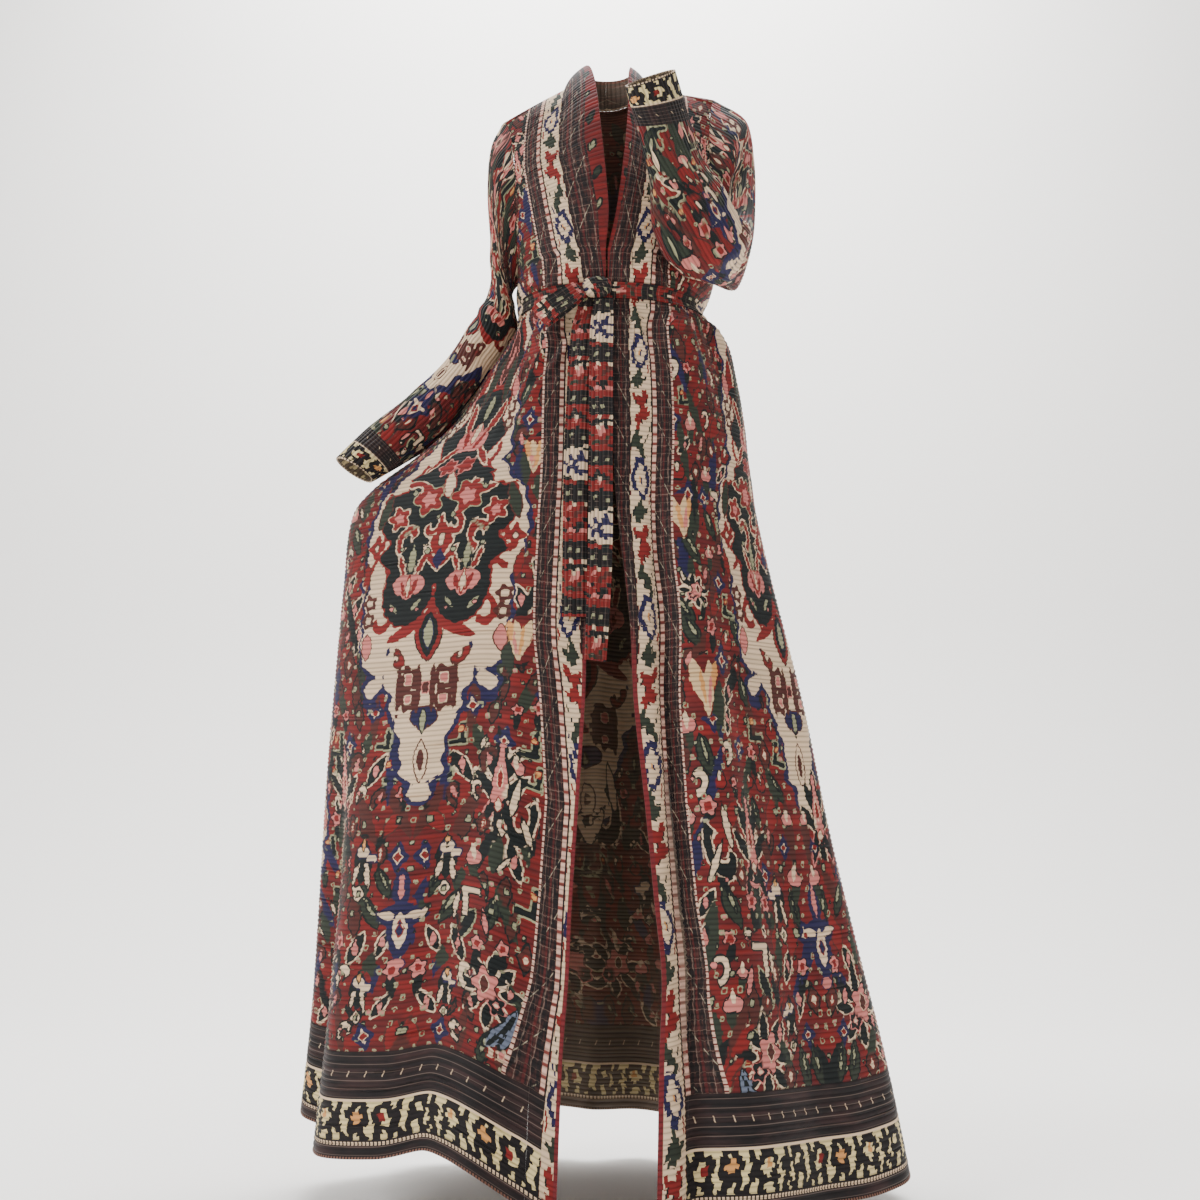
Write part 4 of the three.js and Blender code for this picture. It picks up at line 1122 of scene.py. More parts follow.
def cloth_material(name):
    """The printed, crimped cloth. Its print is in layers, with a front border and a hem border."""
    material = bpy.data.materials.new(name)
    material.use_nodes = True
    tree = material.node_tree
    rib, inside, around, up, border = (
        attribute(tree, key) for key in ("rib", "inside", "around", "height", "border"))
    crest = ((rib * math.pi).sum("COSINE")).size()
    # Each crest carries its own slightly shifted line of the print.
    crest_number = (rib + 0.5).floor()
    shift = pattern(tree, "ShaderNodeTexWhiteNoise", crest_number, (around / 11.0).floor()) - 0.5
    level = pattern(tree, "ShaderNodeTexWhiteNoise", crest_number)
    tone = pattern(tree, "ShaderNodeTexNoise", around / 60.0, rib * 0.45, detail=3.0)

    colour = mix(tree, (tone - 0.42) * 4.0, DEEP_RED, RED)
    for k in range(LAYERS):
        field = attribute(tree, f"in{k}") + shift * 2.2
        colour = mix(tree, (field + EDGES[k]).soft(), colour, attribute(tree, f"edge{k}", True))
        colour = mix(tree, field.soft(), colour, attribute(tree, f"fill{k}", True))
    colour = front_border(tree, colour, shift, around, up, border)
    colour = hem_border(tree, colour, shift, tone, around, up, border)
    # The wrong side shows the print faded through the cloth.
    colour = mix(tree, inside, colour, mix(tree, 0.34, colour, linear(160, 140, 120)))
    shade_valleys_and_finish_cloth(tree, colour, crest, level, tone, around)
    return material


def front_border(tree, colour, shift, around, up, border):
    """The strips along the front edge: plaid, vine, beads, plaid, dots, and the red cut edge."""
    b = border + shift * 2.4
    plaids = plaid(tree, border, up)
    bend = (up / 7.0).sum("SINE") * 0.9 + (up / 17.0).sum("SINE") * 1.2
    climb = up + shift * 5.0 + (up / 31.0).sum("SINE") * 5.0 + (border / 3.3).sum("SINE") * 1.8
    vine = chart(tree, (b + bend - BORDER["line"]) / (BORDER["vine"] - BORDER["line"]),
                 (climb / VINE_REPEAT).fract(), VINE)
    guard = beads(tree, up, 13.0, linear(120, 58, 52), linear(214, 172, 152), 0.7)
    dots = beads(tree, up, 7.0, DEEP_RED, linear(214, 176, 156), 0.75)
    colour = strip(tree, border, 0, BORDER["plaid"], colour, plaids)
    colour = strip(tree, border, BORDER["plaid"], BORDER["line"], colour, DARK)
    colour = strip(tree, b, BORDER["line"], BORDER["vine"], colour, vine)
    colour = strip(tree, border, BORDER["vine"], BORDER["rule"], colour, DARK)
    colour = strip(tree, border, BORDER["rule"], BORDER["beads"], colour, guard)
    colour = strip(tree, border, BORDER["beads"], BORDER["inner"], colour, plaids)
    colour = strip(tree, border, BORDER["inner"], BORDER["dots"], colour, dots)
    cut_edge = (-(around - 4.5)).soft() * (-(border - 200)).soft() * (-(up - 640)).soft(60)
    return mix(tree, cut_edge, colour, linear(112, 36, 40))


def hem_border(tree, colour, shift, tone, around, up, border):
    """The strips along the hem: a dark ruled band over the great border, beads and a dark foot."""
    hem = mix(tree, (tone - 0.4) * 3.0, DARK, linear(54, 37, 36))
    hem = mix(tree, lines(up, 9.5, 0.4, 0.6) * 0.35, hem, linear(150, 128, 116))
    ticks = lines(around + up * 0.4, 23.0, 0.7, 0.6) * 0.8
    ticks = ticks * ((up - 98.0).size() * -1.0 + 3.4).soft(1.0)
    hem = mix(tree, ticks, hem, CREAM)
    round_it = around + shift * 2.0 + (up / 3.2).sum("SINE") * 1.3
    raised = up + (around / 3.7).sum("SINE") * 1.4 + (around / 19.0).sum("SINE") * 0.8
    great = chart(tree, (round_it / HEM_REPEAT).fract(),
                  (raised - HEM["rule"]) / (HEM["great"] - HEM["rule"]), HEM_CHART)
    low = strip(tree, up, HEM["great"], HEM["line"], hem, CREAM)
    low = strip(tree, up, HEM["rule"], HEM["great"], low, great)
    low = strip(tree, up, HEM["beads"], HEM["rule"], low, DARK)
    low = strip(tree, up, HEM["dark"], HEM["beads"], low, beads(tree, around, 5.0, DARK, CREAM))
    low = strip(tree, up, -5, HEM["picot"], low, beads(tree, around, 4.0, DARK, linear(120, 84, 70)))
    outside = (border - BORDER["vine"]).soft()
    colour = mix(tree, (-(up - HEM["band"])).soft() * outside, colour, low)
    lowest = (-(up - HEM["rule"])).soft() * (border - 6.0).soft()
    return mix(tree, lowest, colour, low)


def shade_valleys_and_finish_cloth(tree, colour, crest, level, tone, across):
    """Painted shade in the valleys of the crimps, each crest a little different, a soft sheen, crimps and
    weave in the relief.
    """
    shader = tree.nodes["Principled BSDF"]
    # Painted shade: the base colour is darkened from each crest down into the crimp's valley.
    shade = crest.sum("POWER", 0.5) * 0.56 + 0.44
    shade = shade * (level * 0.2 + 0.9)
    out = mix(tree, 1.0, colour, shade.socket)
    out.node.blend_type = "MULTIPLY"
    tree.links.new(out, shader.inputs["Base Color"])
    shader.inputs["Roughness"].default_value = 0.66
    shader.inputs["Specular IOR Level"].default_value = 0.2
    shader.inputs["Sheen Weight"].default_value = 0.08
    shader.inputs["Sheen Roughness"].default_value = 0.45
    weave = ((across / 1.1).fract() - 0.5).size() * 0.12
    grain = tone * 0.25
    bump = tree.nodes.new("ShaderNodeBump")
    bump.inputs["Strength"].default_value = 1.0
    bump.inputs["Distance"].default_value = 0.001
    height = crest * 0.62 + weave + grain
    tree.links.new(height.socket, bump.inputs["Height"])
    tree.links.new(bump.outputs[0], shader.inputs["Normal"])


# How far the printed border has slid over the cut edge on its way up, and how much it widens below.
BORDER_SHIFT = {
    "right": ((0, 100, 238, 441, 631, 800, 1120, 1190, 1330, 1480), (36, 38, 48, 47, 22, 8, 0, -9, -15, -4)),
    "left": ((0, 116, 221, 444, 687, 900, 1120, 1190, 1330, 1480), (24, 26, 35, 33, 18, 6, 0, -5, -8, -3)),
}
# How wide one front lies flat at each height, with its gathers drawn out, and where that ends.
FLAT_WIDTH = table("up width", (0, 500), (300, 455), (700, 395), (1120, 330), (1500, 300))
FLAT_END = 1190
NO_BORDER = 500.0  # a place beyond every strip of the front border


def border_at(side, edge, up):
    slid = edge + np.interp(up, *BORDER_SHIFT[side])
    inner = BORDER["beads"]
    widening = np.interp(up, (0, 130, 230, 330), (0.5, 0.5, 0.8, 1))
    return np.where(slid < inner, slid, inner + (slid - inner) * widening)


def flat_width(whole, up, fronts):
    """How wide each row of a panel as wide as one or two fronts lies flat."""
    flat = np.maximum(whole, fronts * along(FLAT_WIDTH, "up", "width", ROW_UP)[:, None])
    return whole + (flat - whole) * smooth((FLAT_END - up) / 90)


def front(side):
    sign = -1 if side == "right" else 1

    def skirt_ends(z):
        return seam_angle(side, z), np.full(len(z), sign * (SIDE_SEAM - SIDE_GAP))

    def arch_ends(over):
        return sign * neck_x(over), sign * (armhole_x(side, over) - 0.2)

    columns = 132
    grid, lengths = body_panel(skirt_ends, arch_ends, False, columns)
    normal = body_normals(grid)
    edge = BAND_WIDTH + lengths
    up = np.repeat(ROW_UP[:, None], columns + 1, 1)
    whole = edge[:, -1:]
    flat = flat_width(whole, up, 1)
    across = np.where(edge < 90, edge, 90 + (edge - 90) * (flat - 90) / np.maximum(whole - 90, 30))
    rib = np.repeat(ROW_RIB[:, None], columns + 1, 1)
    cloth = Print(across, up)
    lay_motifs(cloth, FRONT_MOTIFS[side])
    sprinkle(cloth, FRONT_AXIS[side], 124, 1490, 11 if side == "right" else 12, (48, 560))
    data = {"height": up, "rib": rib, "around": across, "border": border_at(side, edge, up), **cloth.data()}
    lift = crimp(rib, edge, 3 if side == "right" else 4)
    return shell(f"front_{side}_cloth", grid, normal, lift, data)


# The line that the fronts' small shapes are mirrored on, in mm from the band's free edge.
FRONT_AXIS = {"right": 204, "left": 252}
# The large motifs of the two fronts: motif (None is the medallion), place and size.
FRONT_MOTIFS = {
    "right": (
        (None, (200, 742), (1.0, 1.0)), (None, (470, 500), (0.9, 0.9)),
        (PALMETTE, (94, 438), 1.15), (PALMETTE, (330, 438), 1.1), (ROSETTE, (90, 205), 1.05),
        (ROSETTE, (332, 205), 1.0), (STAR_CROSS, (214, 284), 1.05), (CUPS, (160, 352), 1.0),
        (CUPS, (270, 352), 1.0), (HOOK_LEAF, (64, 410), 1.0), (BRACKETS, (122, 298), 1.0),
        (WING, (62, 172), 0.9), (PATCH, (80, 628), 1.0), (PATCH, (86, 880), 0.9), (CUPS, (150, 196), 0.8),
        (CUPS, (262, 196), 0.8), (BRACKETS, (338, 310), 0.9), (PALMETTE, (110, 1330), 0.8),
        (ROSETTE, (150, 1420), 0.7),
    ),
    "left": (
        (None, (278, 755), (1.0, 1.0)), (PALMETTE, (146, 385), 1.2), (ROSETTE, (134, 158), 1.15),
        (STAR_CROSS, (262, 290), 1.05), (CUPS, (192, 330), 1.0), (HOOK_LEAF, (88, 390), 1.15),
        (BRACKETS, (132, 262), 1.1), (WING, (104, 122), 0.95), (PATCH, (92, 580), 1.3),
        (PATCH, (84, 800), 1.0), (CUPS, (188, 200), 0.8), (ROSETTE, (90, 700), 0.55),
        (PALMETTE, (300, 420), 1.1), (ROSETTE, (320, 200), 1.1), (PALMETTE, (120, 1330), 0.8),
        (ROSETTE, (150, 1420), 0.7),
    ),
}


def back_panel():
    columns = 150

    def skirt_ends(z):
        return np.full(len(z), SIDE_SEAM + SIDE_GAP), np.full(len(z), 360 - SIDE_SEAM - SIDE_GAP)

    def arch_ends(over):
        return armhole_x("left", over) - 0.5, 0.5 - armhole_x("right", over)

    def denser(angle):
        return 1 + 1.8 * np.exp(-((angle - 174) / 12) ** 2)

    grid, lengths = body_panel(skirt_ends, arch_ends, True, columns, denser)
    normal = body_normals(grid)
    whole = lengths[:, -1:]
    up = np.repeat(ROW_UP[:, None], columns + 1, 1)
    across = (lengths - whole / 2) * flat_width(whole, up, 2) / whole
    rib = np.repeat(ROW_RIB[:, None], columns + 1, 1)
    cloth = Print(across, up)
    medallion(cloth, (0, 760), (1.3, 1.15))
    for flip in (-1, 1):
        medallion(cloth, (flip * 345, 720), (0.9, 0.95))
        scatter(cloth, (flip * 165, 440), PALMETTE, 1.2, flip)
        scatter(cloth, (flip * 24, 440), HOOK_LEAF, 1.6, flip)
        scatter(cloth, (flip * 150, 205), ROSETTE, 1.1, flip)
        scatter(cloth, (flip * 30, 210), ROSETTE, 1.1, flip)
        scatter(cloth, (flip * 70, 1290), ROSETTE, 0.9, flip)
        scatter(cloth, (flip * 90, 320), CUPS, 1.0, flip)
        scatter(cloth, (flip * 330, 300), STAR_CROSS, 1.1, flip)
        scatter(cloth, (flip * 250, 250), BRACKETS, 1.1, flip)
    scatter(cloth, (0, 1180), STAR_CROSS, 1.1)
    sprinkle(cloth, 0, 124, 1480, 13, (-640, 640))
    far = np.full(up.shape, NO_BORDER)
    data = {"height": up, "rib": rib, "around": across + 700, "border": far, **cloth.data()}
    return shell("back_cloth", grid, normal, crimp(rib, across, 5), data, step=(2, 2))


def band(side):
    """The band up one front edge, and its collar round to the centre back, as one piece."""
    sign = -1 if side == "right" else 1
    across = np.linspace(0, 1, 10)
    z = SKIRT_Z[:, None]
    edge_x = along(FRONT_EDGES, "z", side, z)
    seam = ring(seam_angle(side, z), z)
    start = angle_at(seam[..., 0] - sign * SEAM_GAP, z)
    lower = ring(start + (angle_at(edge_x, z) - start) * across, z)

    turns = uneven(0, 0.9993, 2 * round(NECK_RUN / RIB))[1:]
    over = np.concatenate([ARCH_OVER, np.full(len(turns), 90.0)])[:, None]
    turn = np.radians(90 * np.concatenate([np.zeros(ARCH_COUNT), turns]))[:, None]
    sewn = np.where(turn[..., None] > 0, shoulder_arch(sign * NECK_HALF * np.cos(turn), 89.8, True),
                    shoulder_arch(sign * neck_x(over), np.minimum(over, 89.8), False))
    sewn[..., 2] += SEAM_GAP * smooth((over - 20) / 30)
    share = smooth(turn / (math.pi / 2))
    pick = {key: along(BAND_EDGE[side], "angle", key, over) * (1 - share) + BAND_BACK[key] * share
            for key in BAND_BACK}
    free = np.stack([-sign * pick["inward"] * np.cos(turn), pick["back"], pick["up"]], -1)
    lean = np.sin(np.radians(over))
    bulge = np.stack([sign * np.cos(turn) * lean, np.sin(turn) - (1 - lean), 0.3 + 0 * lean], -1)
    bow = 5 * np.sin(np.radians(over * 0.9) + 0.05) * 4 * across * (1 - across)
    lead = SEAM_GAP / np.linalg.norm(free, axis=2)
    way = lead + (1 - lead) * across
    upper = sewn + free * way[..., None] + bulge * bow[..., None]
    grid = np.concatenate([lower, upper])
    rows = len(grid)
    hint = np.concatenate([lower * (1, 1, 0), np.repeat(np.stack(
        [sign * (0.35 + lean), -1 + 1.9 * np.sin(turn) + 0 * lean, 0.9 * lean], -1), 10, 1)])
    normal = normals(grid, hint)
    up = np.concatenate([ROW_UP, ROW_UP[-1] + NECK_RUN * turns])
    up = np.repeat(up[:, None], 10, 1)
    rib = np.repeat((np.arange(rows) / 2)[:, None], 10, 1)
    edge = np.repeat(BAND_WIDTH * (1 - across)[None, :], rows, 0)
    border = border_at(side, edge, up)
    cloth = Print(edge, up)
    for k in range(8):
        cloth.put(3, leaf, (9 - k % 2, 1235 + 41 * k), (2.2, 8), GREEN if k % 2 else SAGE, BLACK_GREEN, 20)
    data = {"height": up, "rib": rib, "around": edge, "border": border, **cloth.data()}
    lift = crimp(rib, edge, 6 if side == "right" else 7, 0.8)
    return shell(f"band_{side}_cloth", grid, normal, lift, data, step=(2, 3))


# The large motifs of the sleeves, by the arc from the outer line and the way up from the cuff.
SLEEVE_MOTIFS = {
    "right": (
        (None, (44, 318), (0.8, 0.52)), (None, (-120, 330), (0.8, 0.52)), (STAR_CROSS, (58, 128), 0.55),
        (ROSETTE, (30, 470), 0.7), (PALMETTE, (96, 480), 0.7), (CUPS, (20, 92), 0.6),
        (BRACKETS, (90, 96), 0.6),
    ),
    "left": (
        (None, (-10, 330), (0.85, 0.5)), (PALMETTE, (84, 200), 0.75), (STAR_CROSS, (-60, 190), 0.6),
        (ROSETTE, (50, 110), 0.6), (BRACKETS, (92, 130), 0.7), (CUPS, (20, 150), 0.7),
        (ROSETTE, (-90, 440), 0.8), (PALMETTE, (90, 450), 0.8), (HOOK_LEAF, (60, 260), 0.7),
    ),
}


def sleeve(side):
    sign = -1 if side == "right" else 1
    rings = SLEEVES[side]
    rows, columns = 81, 300
    at = np.linspace(0, 1, rows)[:, None]
    turn = (2 * np.pi * np.arange(columns) / columns)[None, :]

    def point(turn, at):
        outer, inner, ahead = (np.stack([along(rings, "at", kind + axis, at) for axis in "xyz"], -1)
                               for kind in "oif")
        depth = np.where(np.sin(turn) < 0, along(rings, "at", "rear", at), 1.0)
        return ((outer + inner) / 2 + (outer - inner) / 2 * np.cos(turn)[..., None]
                + ahead * (depth * np.sin(turn))[..., None])

    over = np.degrees(np.arcsin(np.minimum(1, (1 + np.cos(turn)) / 2)))
    x = sign * armhole_x(side, over)
    behind = (np.sin(turn) < 0)[..., None]
    hole = np.where(behind, shoulder_arch(x, over, True), shoulder_arch(x, over, False))
    hole = hole + np.array([sign * SEAM_GAP, 0, 0])
    settle = (hole - point(turn, np.zeros((1, 1)))) * (1 - smooth(at / SLEEVE_HEAD))[..., None]
    grid = point(turn, at) + settle
    middle = grid.mean(axis=1, keepdims=True)
    normal = normals(grid, grid - middle, True)
    normal[0, :, 0] = 0
    normal[0] /= np.maximum(np.linalg.norm(normal[0], axis=1, keepdims=True), 1e-9)
    creases = CREASES[side]
    folds = np.zeros((rows, columns))
    for k in range(len(creases["at"])):
        away = (turn - creases["turn"][k] + np.pi) % (2 * np.pi) - np.pi
        off = (at - creases["at"][k] - creases["slant"][k] * away) / creases["long"][k]
        folds += creases["depth"][k] * np.exp(-off * off - (away / creases["wide"][k]) ** 2)
    folds *= smooth((at - 0.05) / 0.12)
    grid = grid + normal * folds[..., None]
    step = np.linalg.norm(np.diff(np.concatenate([grid, grid[:, :1]], axis=1), axis=1), axis=2)
    run = np.concatenate([np.zeros((rows, 1)), np.cumsum(step, axis=1)], axis=1)
    whole = run[:, -1:]
    signed = np.where(run[:, :-1] < whole / 2, run[:, :-1], run[:, :-1] - whole)
    round_it = np.abs(signed)
    gone = np.linalg.norm(np.diff(grid, axis=0), axis=2).mean(axis=1)
    up_row = np.concatenate([[0], np.cumsum(gone)])
    up_row = up_row[-1] - up_row
    up = np.repeat(up_row[:, None], columns, 1)
    rib = round_it / RIB
    cloth = Print(signed, up)
    lay_motifs(cloth, SLEEVE_MOTIFS[side])
    sprinkle(cloth, 20, 58, 580, 21 if side == "right" else 22, (-330, 330), (25, 29))
    far = np.full(up.shape, NO_BORDER)
    height = np.interp(up, (0, 3, 30, 56, 600), (17, 23, 68, 126, 670))
    data = {"height": height, "rib": rib, "around": round_it, "border": far, **cloth.data()}
    fine = np.clip(1.4 - step / 2.4, 0, 1)
    lift = crimp(rib, up, 8 if side == "right" else 9, 0.7) * fine
    return shell(f"sleeve_{side}_cloth", grid, normal, lift, data, step=(2, 3), loop=True)


# The print of the belt, a charted repeat along its length (left to right) and across it.
BELT_CHART = (
    "kddkckccnccnccrkdddkcbrrkrrprrkdddkckcrrgrrkrdddkrbrrkrr",
    "kdsdkcnnnccnnckkdsdkrbbrrkkprrkdddkrkkkrrgbrrkdskrrrkbrr",
    "kdddkccnncnncckkdddkrrbbrkkkrrkdsdkrkcpprrbrrkddkrrkkrrk",
    "kdddkcccnnncccrkdddkcrrrrrkprrkdddkckkcpprgrrkddkrkkcprr",
    "ksddkccnncnnckrkdsdkrprrkrrprrkdsdkrkkrrrrgrrkdskrrkkrrr",
    "kdddkkcccnccckrkdddkrrrrprrkrrkdddkrrkrrgrrrkkddkrrrkrbr",
)
BELT_REPEAT = 280.0


def belt_material(name):
    material = bpy.data.materials.new(name)
    material.use_nodes = True
    tree = material.node_tree
    rib, across, up = (attribute(tree, key) for key in ("rib", "around", "height"))
    crest = (rib * math.pi).sum("COSINE").size()
    level = pattern(tree, "ShaderNodeTexWhiteNoise", (rib + 0.5).floor())
    place = ((up + level * 2.6 + (up * 0.9).sum("SINE") * 0.7) / BELT_REPEAT).fract()
    colour = chart(tree, place, (across + (up * 0.21).sum("SINE") * 1.6) / TAIL_WIDTH, BELT_CHART)
    grid = lines(up, 7.6, 0.35, 0.6) * level * 0.35 + lines(across, 7.0, 0.3, 0.6) * 0.1
    colour = mix(tree, grid, colour, linear(190, 164, 146))
    shade_valleys_and_finish_cloth(tree, colour, crest, level, level, across)
    return material


def belt_waist():
    rows, columns = 9, 240
    z = (WAIST_Z + BELT_HEIGHT * (np.linspace(0, 1, rows) - 0.5))[:, None]
    angle = (-180 + 360 * np.arange(columns) / columns)[None, :]
    base = ring(angle, z, False)
    reach = np.hypot(base[..., 0], base[..., 1])
    pull = 0.35 * noise(angle / 9, z / 6, 31)
    out = (reach + BELT_STAND + BELT_CLOTH + 0.35 + pull) / reach
    grid = np.stack([base[..., 0] * out, base[..., 1] * out, z + 1.1 * noise(angle / 30, z * 0, 32)], -1)
    normal = normals(grid, grid * (1, 1, 0), True)
    length = np.radians(np.abs(angle)) * 105 + 0 * z
    rib = np.repeat((z + 400) / 5.0, columns, 1)
    data = {"height": length + 175, "rib": rib, "around": rib * 7.5 - 60, "border": rib}
    lift = crimp(rib, length, 33, 0.4)
    return shell("belt_waist_cloth", grid, normal, lift, data, BELT_CLOTH, (2, 2), True)


def belt_knot():
    rows, columns = 41, 72
    level = (np.pi * (np.linspace(0.004, 0.996, rows) - 0.5))[:, None]
    turn = (2 * np.pi * np.arange(columns) / columns)[None, :]

    def blunt(t, power):
        return np.sign(t) * np.abs(t) ** power

    unit = np.stack([blunt(np.cos(turn), 0.8) * blunt(np.cos(level), 0.8),
                     blunt(np.sin(turn), 0.8) * blunt(np.cos(level), 0.8),
                     blunt(np.sin(level), 0.8) + 0 * turn], -1)
    groove = np.exp(-((unit[..., 0] * 1.2 + unit[..., 2] * 0.9 - 0.35) / 0.13) ** 2)
    groove += np.exp(-((unit[..., 0] * 0.9 - unit[..., 2] * 1.3 + 0.5) / 0.13) ** 2)
    pleat = 0.02 * np.cos(unit[..., 0] * 22 + unit[..., 2] * 9)
    shape = unit * (1 - 0.10 * groove + pleat)[..., None]
    grid = KNOT_AT + shape * KNOT_SIZE / 2
    points = grid.reshape(-1, 3)
    index = np.arange(rows * columns).reshape(rows, columns)
    index = np.concatenate([index, index[:, :1]], axis=1)
    quads = np.stack([index[:-1, :-1], index[:-1, 1:], index[1:, 1:], index[1:, :-1]], -1).reshape(-1, 4)
    ends = np.stack([grid[0].mean(axis=0), grid[-1].mean(axis=0)])
    total = len(points)
    tris = [(total, index[0, i + 1], index[0, i]) for i in range(columns)]
    tris += [(total + 1, index[-1, i], index[-1, i + 1]) for i in range(columns)]
    points = np.concatenate([points, ends])
    x, z = points[:, 0] - KNOT_AT[0], points[:, 2] - KNOT_AT[2]
    values = {"height": x * 1.2 + z * 0.7 + 78, "rib": (z - x * 0.5) / 5 + 20, "around": z + 15,
              "border": x, "inside": 0 * x}
    return piece("belt_knot_cloth", points, quads, np.array(tris), values)


def bow_loop():
    rows, columns = 22, 96
    out = (LOOP_TO - LOOP_FROM) / np.linalg.norm(LOOP_TO - LOOP_FROM)
    ahead = np.array([0, -1, 0]) + out * out[1]
    ahead /= np.linalg.norm(ahead)
    wide = np.cross(out, ahead)
    turn = (2 * np.pi * np.arange(columns) / columns)[None, :, None]
    v = np.linspace(-0.5, 0.5, rows)[:, None, None]

    def blunt(t):
        return np.sign(t) * np.abs(t) ** 0.75

    pinch = 0.62 + 0.38 * np.sin(turn / 2)
    pleat = 1.0 * np.cos(v * 21) * (1 - np.sin(turn / 2)) ** 2
    grid = (LOOP_FROM + out * (LOOP_LENGTH / 2) * (1 - blunt(np.cos(turn)))
            + ahead * (LOOP_THICK * blunt(np.sin(turn)) + pleat * np.sin(turn))
            + wide * v * LOOP_WIDTH * pinch)
    normal = normals(grid, grid - LOOP_FROM - out * LOOP_LENGTH / 2, True)
    turn, v = turn[..., 0], v[..., 0]
    length = LOOP_LENGTH / 2 * (1 - np.cos(turn)) + 0 * v
    rib = v * LOOP_WIDTH / 5 + 20 + 0 * turn
    data = {"height": length + 128, "rib": rib, "around": rib * 5 - 85, "border": rib}
    lift = crimp(rib, length, 34, 0.35)
    return shell("belt_loop_cloth", grid, normal, lift, data, BELT_CLOTH, (3, 2), True)


def belt_tail(side):
    rows_table = TAILS[side]
    zs = rows_table["z"]
    count = 160
    z = np.linspace(zs[0], zs[-1], count + 1)[:, None]
    across = np.linspace(-0.5, 0.5, 19)[None, :]
    x = along(rows_table, "z", "x", z)
    depth = along(SECTIONS, "z", "front", z) + along(rows_table, "z", "stand", z)
    turn = np.radians(along(rows_table, "z", "turn", z))
    swell = 1.2 * np.cos(across * np.pi) + 0.8 * np.sin(across * 9 + z / 90) * smooth((zs[0] - 14 - z) / 60)
    narrow = 1 - 0.16 * (1 - smooth((zs[0] - z) / 50))
    grid = np.stack([x + across * TAIL_WIDTH * narrow * np.cos(turn), -depth - swell
                     + across * TAIL_WIDTH * np.sin(turn), z + 0 * across], -1)
    normal = normals(grid, np.array([0.0, -1.0, 0.0]) + 0 * grid)
    rib = across * TAIL_WIDTH / 5 + 20 + 0 * z
    length = zs[0] - z + (0 if side == "left" else 85) + 0 * across
    data = {"height": length, "rib": rib, "around": rib * 5 - 85, "border": rib}
    lift = crimp(rib, length, 35, 0.4)
    return shell(f"belt_tail_{side}_cloth", grid, normal, lift, data, BELT_CLOTH, (4, 3))


carpet = cloth_material("carpet_print")
belt_cloth = belt_material("belt_print")
# Each piece, its material, nodes, slot, flat cut and area in metres, how it is held and what carries it.
PIECES = (
    (front("right"), carpet, ["front_right"], "carpet_cloth", (0.49, 1.49), 0.444, "hung", ["band_right"]),
    (front("left"), carpet, ["front_left"], "carpet_cloth", (0.49, 1.49), 0.396, "hung", ["band_left"]),
    (back_panel(), carpet, ["back"], "carpet_cloth", (1.15, 1.5), 1.0, "hung", ["front_right", "front_left"]),
    (sleeve("right"), carpet, ["sleeve_right"], "carpet_cloth", (0.5, 0.62), 0.13, "hung", ["back"]),
    (sleeve("left"), carpet, ["sleeve_left"], "carpet_cloth", (0.5, 0.62), 0.13, "hung", ["back"]),
    (band("right"), carpet, ["band_right", "collar_right"], "band_cloth", (0.042, 1.58), 0.066, "hung",
     ["front_right"]),
    (band("left"), carpet, ["band_left", "collar_left"], "band_cloth", (0.042, 1.58), 0.066, "hung",
     ["front_left"]),
    (belt_waist(), belt_cloth, ["belt_waist"], "band_cloth", (0.022, 0.75), 0.0165, "stretched",
     ["front_right", "back"]),
    (bow_loop(), belt_cloth, ["belt_loop"], "band_cloth", (0.031, 0.15), 0.0044, "folded", ["belt_knot"]),
    (belt_tail("right"), belt_cloth, ["belt_tail_right"], "carpet_cloth", (0.031, 0.45), 0.0139, "hung",
     ["belt_knot"]),
    (belt_tail("left"), belt_cloth, ["belt_tail_left"], "carpet_cloth", (0.031, 0.5), 0.0155, "hung",
     ["belt_knot"]),
)

# The camera stands low and close and looks a little up, as the photograph was taken.
CAMERA_AT = (-0.009, -1.800, -1.145)
CAMERA_PITCH = 12.4
camera_data = bpy.data.cameras.new("camera")
camera_data.lens = 41.55
camera_data.sensor_width = 36
camera = bpy.data.objects.new("camera", camera_data)
camera.location = CAMERA_AT
camera.rotation_euler = (math.radians(90 + CAMERA_PITCH), 0, 0)
bpy.context.scene.collection.objects.link(camera)
bpy.context.scene.camera = camera

for obj, material, nodes, slot, flat, area, held, rests_on in PIECES:
    obj.data.materials.append(material)
    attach(obj, "root")
    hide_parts(*nodes)
knot = belt_knot()
knot.data.materials.append(belt_cloth)
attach(knot, "root")
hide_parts("belt_knot")

# A pale floor that curves up into a wall behind.
FLOOR_Z = -1.490
WALL_Y = 3.2
CURVE = 1.4


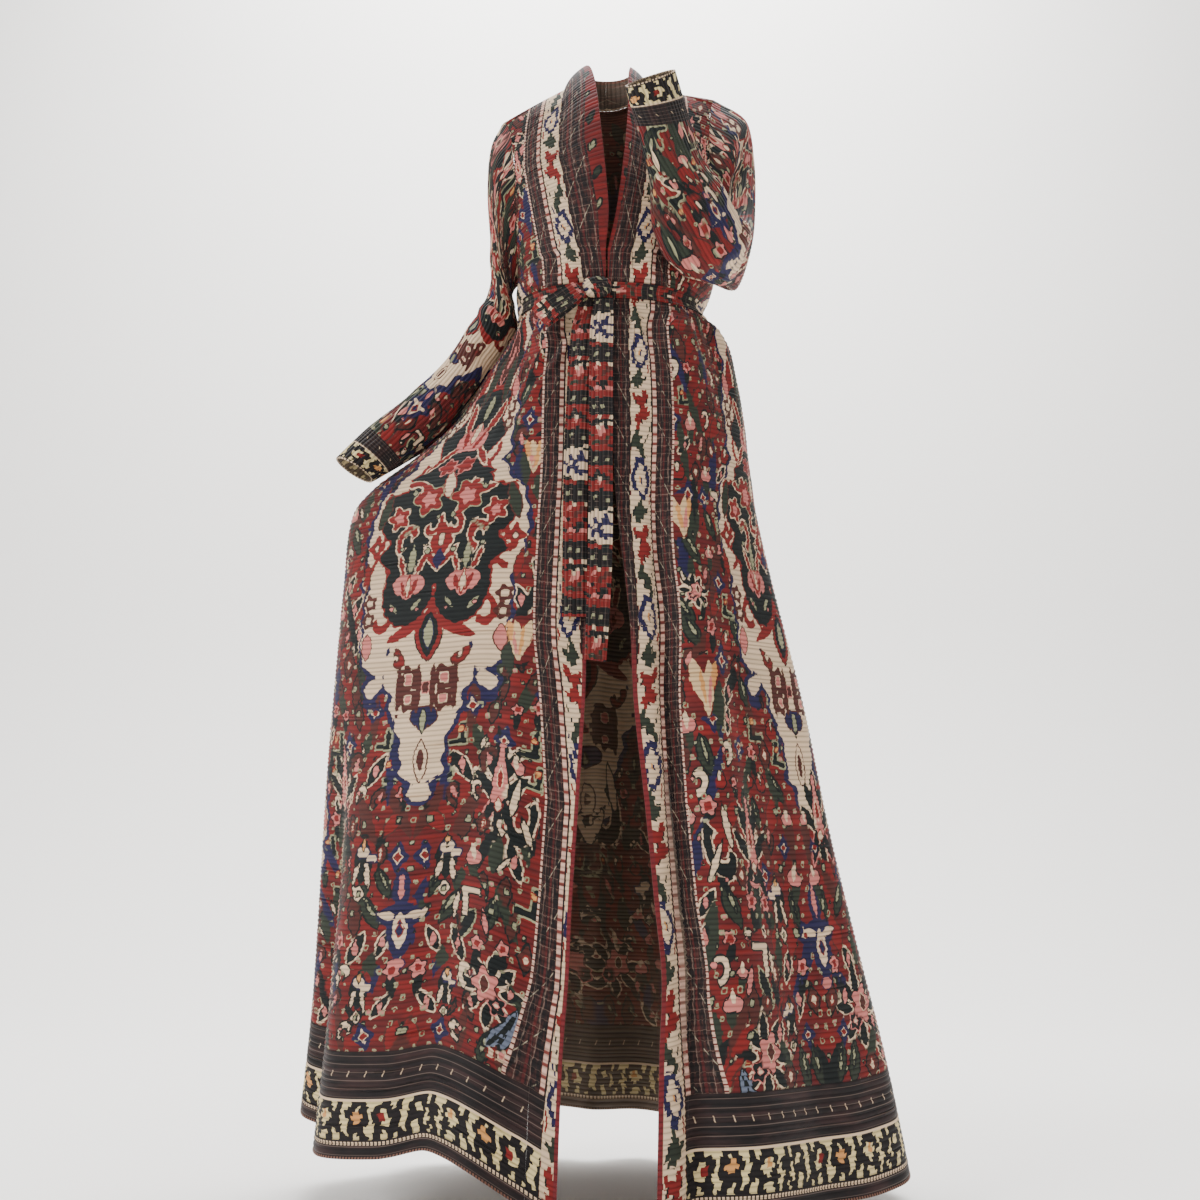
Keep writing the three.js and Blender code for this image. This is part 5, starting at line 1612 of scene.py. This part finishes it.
def floor_profile(t):
    """The floor from front (0) through the curve to the top of the wall (1): y and z."""
    if t < 0.4:
        return -6 + (WALL_Y - CURVE + 6) * t / 0.4, FLOOR_Z
    if t < 0.7:
        turn = math.pi / 2 * (t - 0.4) / 0.3
        return WALL_Y - CURVE + CURVE * math.sin(turn), FLOOR_Z + CURVE * (1 - math.cos(turn))
    return WALL_Y, FLOOR_Z + CURVE + 5 * (t - 0.7) / 0.3


profile = [floor_profile(i / 40) for i in range(41)]
floor_points = [(x, y, z) for y, z in profile for x in (-9, 9)]
floor_mesh = bpy.data.meshes.new("floor")
floor_mesh.from_pydata(floor_points, [], [(2 * i, 2 * i + 1, 2 * i + 3, 2 * i + 2) for i in range(40)])
for polygon in floor_mesh.polygons:
    polygon.use_smooth = True
floor = bpy.data.objects.new("floor", floor_mesh)
bpy.context.scene.collection.objects.link(floor)
paint = bpy.data.materials.new("pale_paint")
paint.use_nodes = True
paint.node_tree.nodes["Principled BSDF"].inputs["Base Color"].default_value = (*linear(247, 245, 242), 1)
paint.node_tree.nodes["Principled BSDF"].inputs["Roughness"].default_value = 0.9
floor_mesh.materials.append(paint)

# Soft studio lights, each with its name, place, size in metres and power in watts.
LIGHTS = (
    ("key", (-3.0, -2.0, 0.9), 1.6, 112),
    ("fill", (2.8, -2.6, -0.3), 2.6, 30),
    ("top", (0.3, 0.6, 2.5), 2.6, 74),
    ("wall", (0.0, 1.4, 3.4), 3.0, 430),
)
AIM = np.array([0.0, 0.0, -0.75])
WALL_AIM = np.array([0.0, 3.2, 0.4])
for name, place, size, power in LIGHTS:
    data = bpy.data.lights.new(name, "AREA")
    data.size = size
    data.energy = power
    light = bpy.data.objects.new(name, data)
    light.location = place
    aim = (WALL_AIM if name == "wall" else AIM) - np.array(place)
    flat_way = math.hypot(aim[0], aim[1])
    light.rotation_euler = (math.pi / 2 + math.atan2(aim[2], flat_way), 0, math.atan2(-aim[0], aim[1]))
    bpy.context.scene.collection.objects.link(light)
world = bpy.data.worlds.new("studio")
world.use_nodes = True
world.node_tree.nodes["Background"].inputs["Color"].default_value = (*linear(244, 242, 240), 1)
world.node_tree.nodes["Background"].inputs["Strength"].default_value = 0.56
bpy.context.scene.world = world
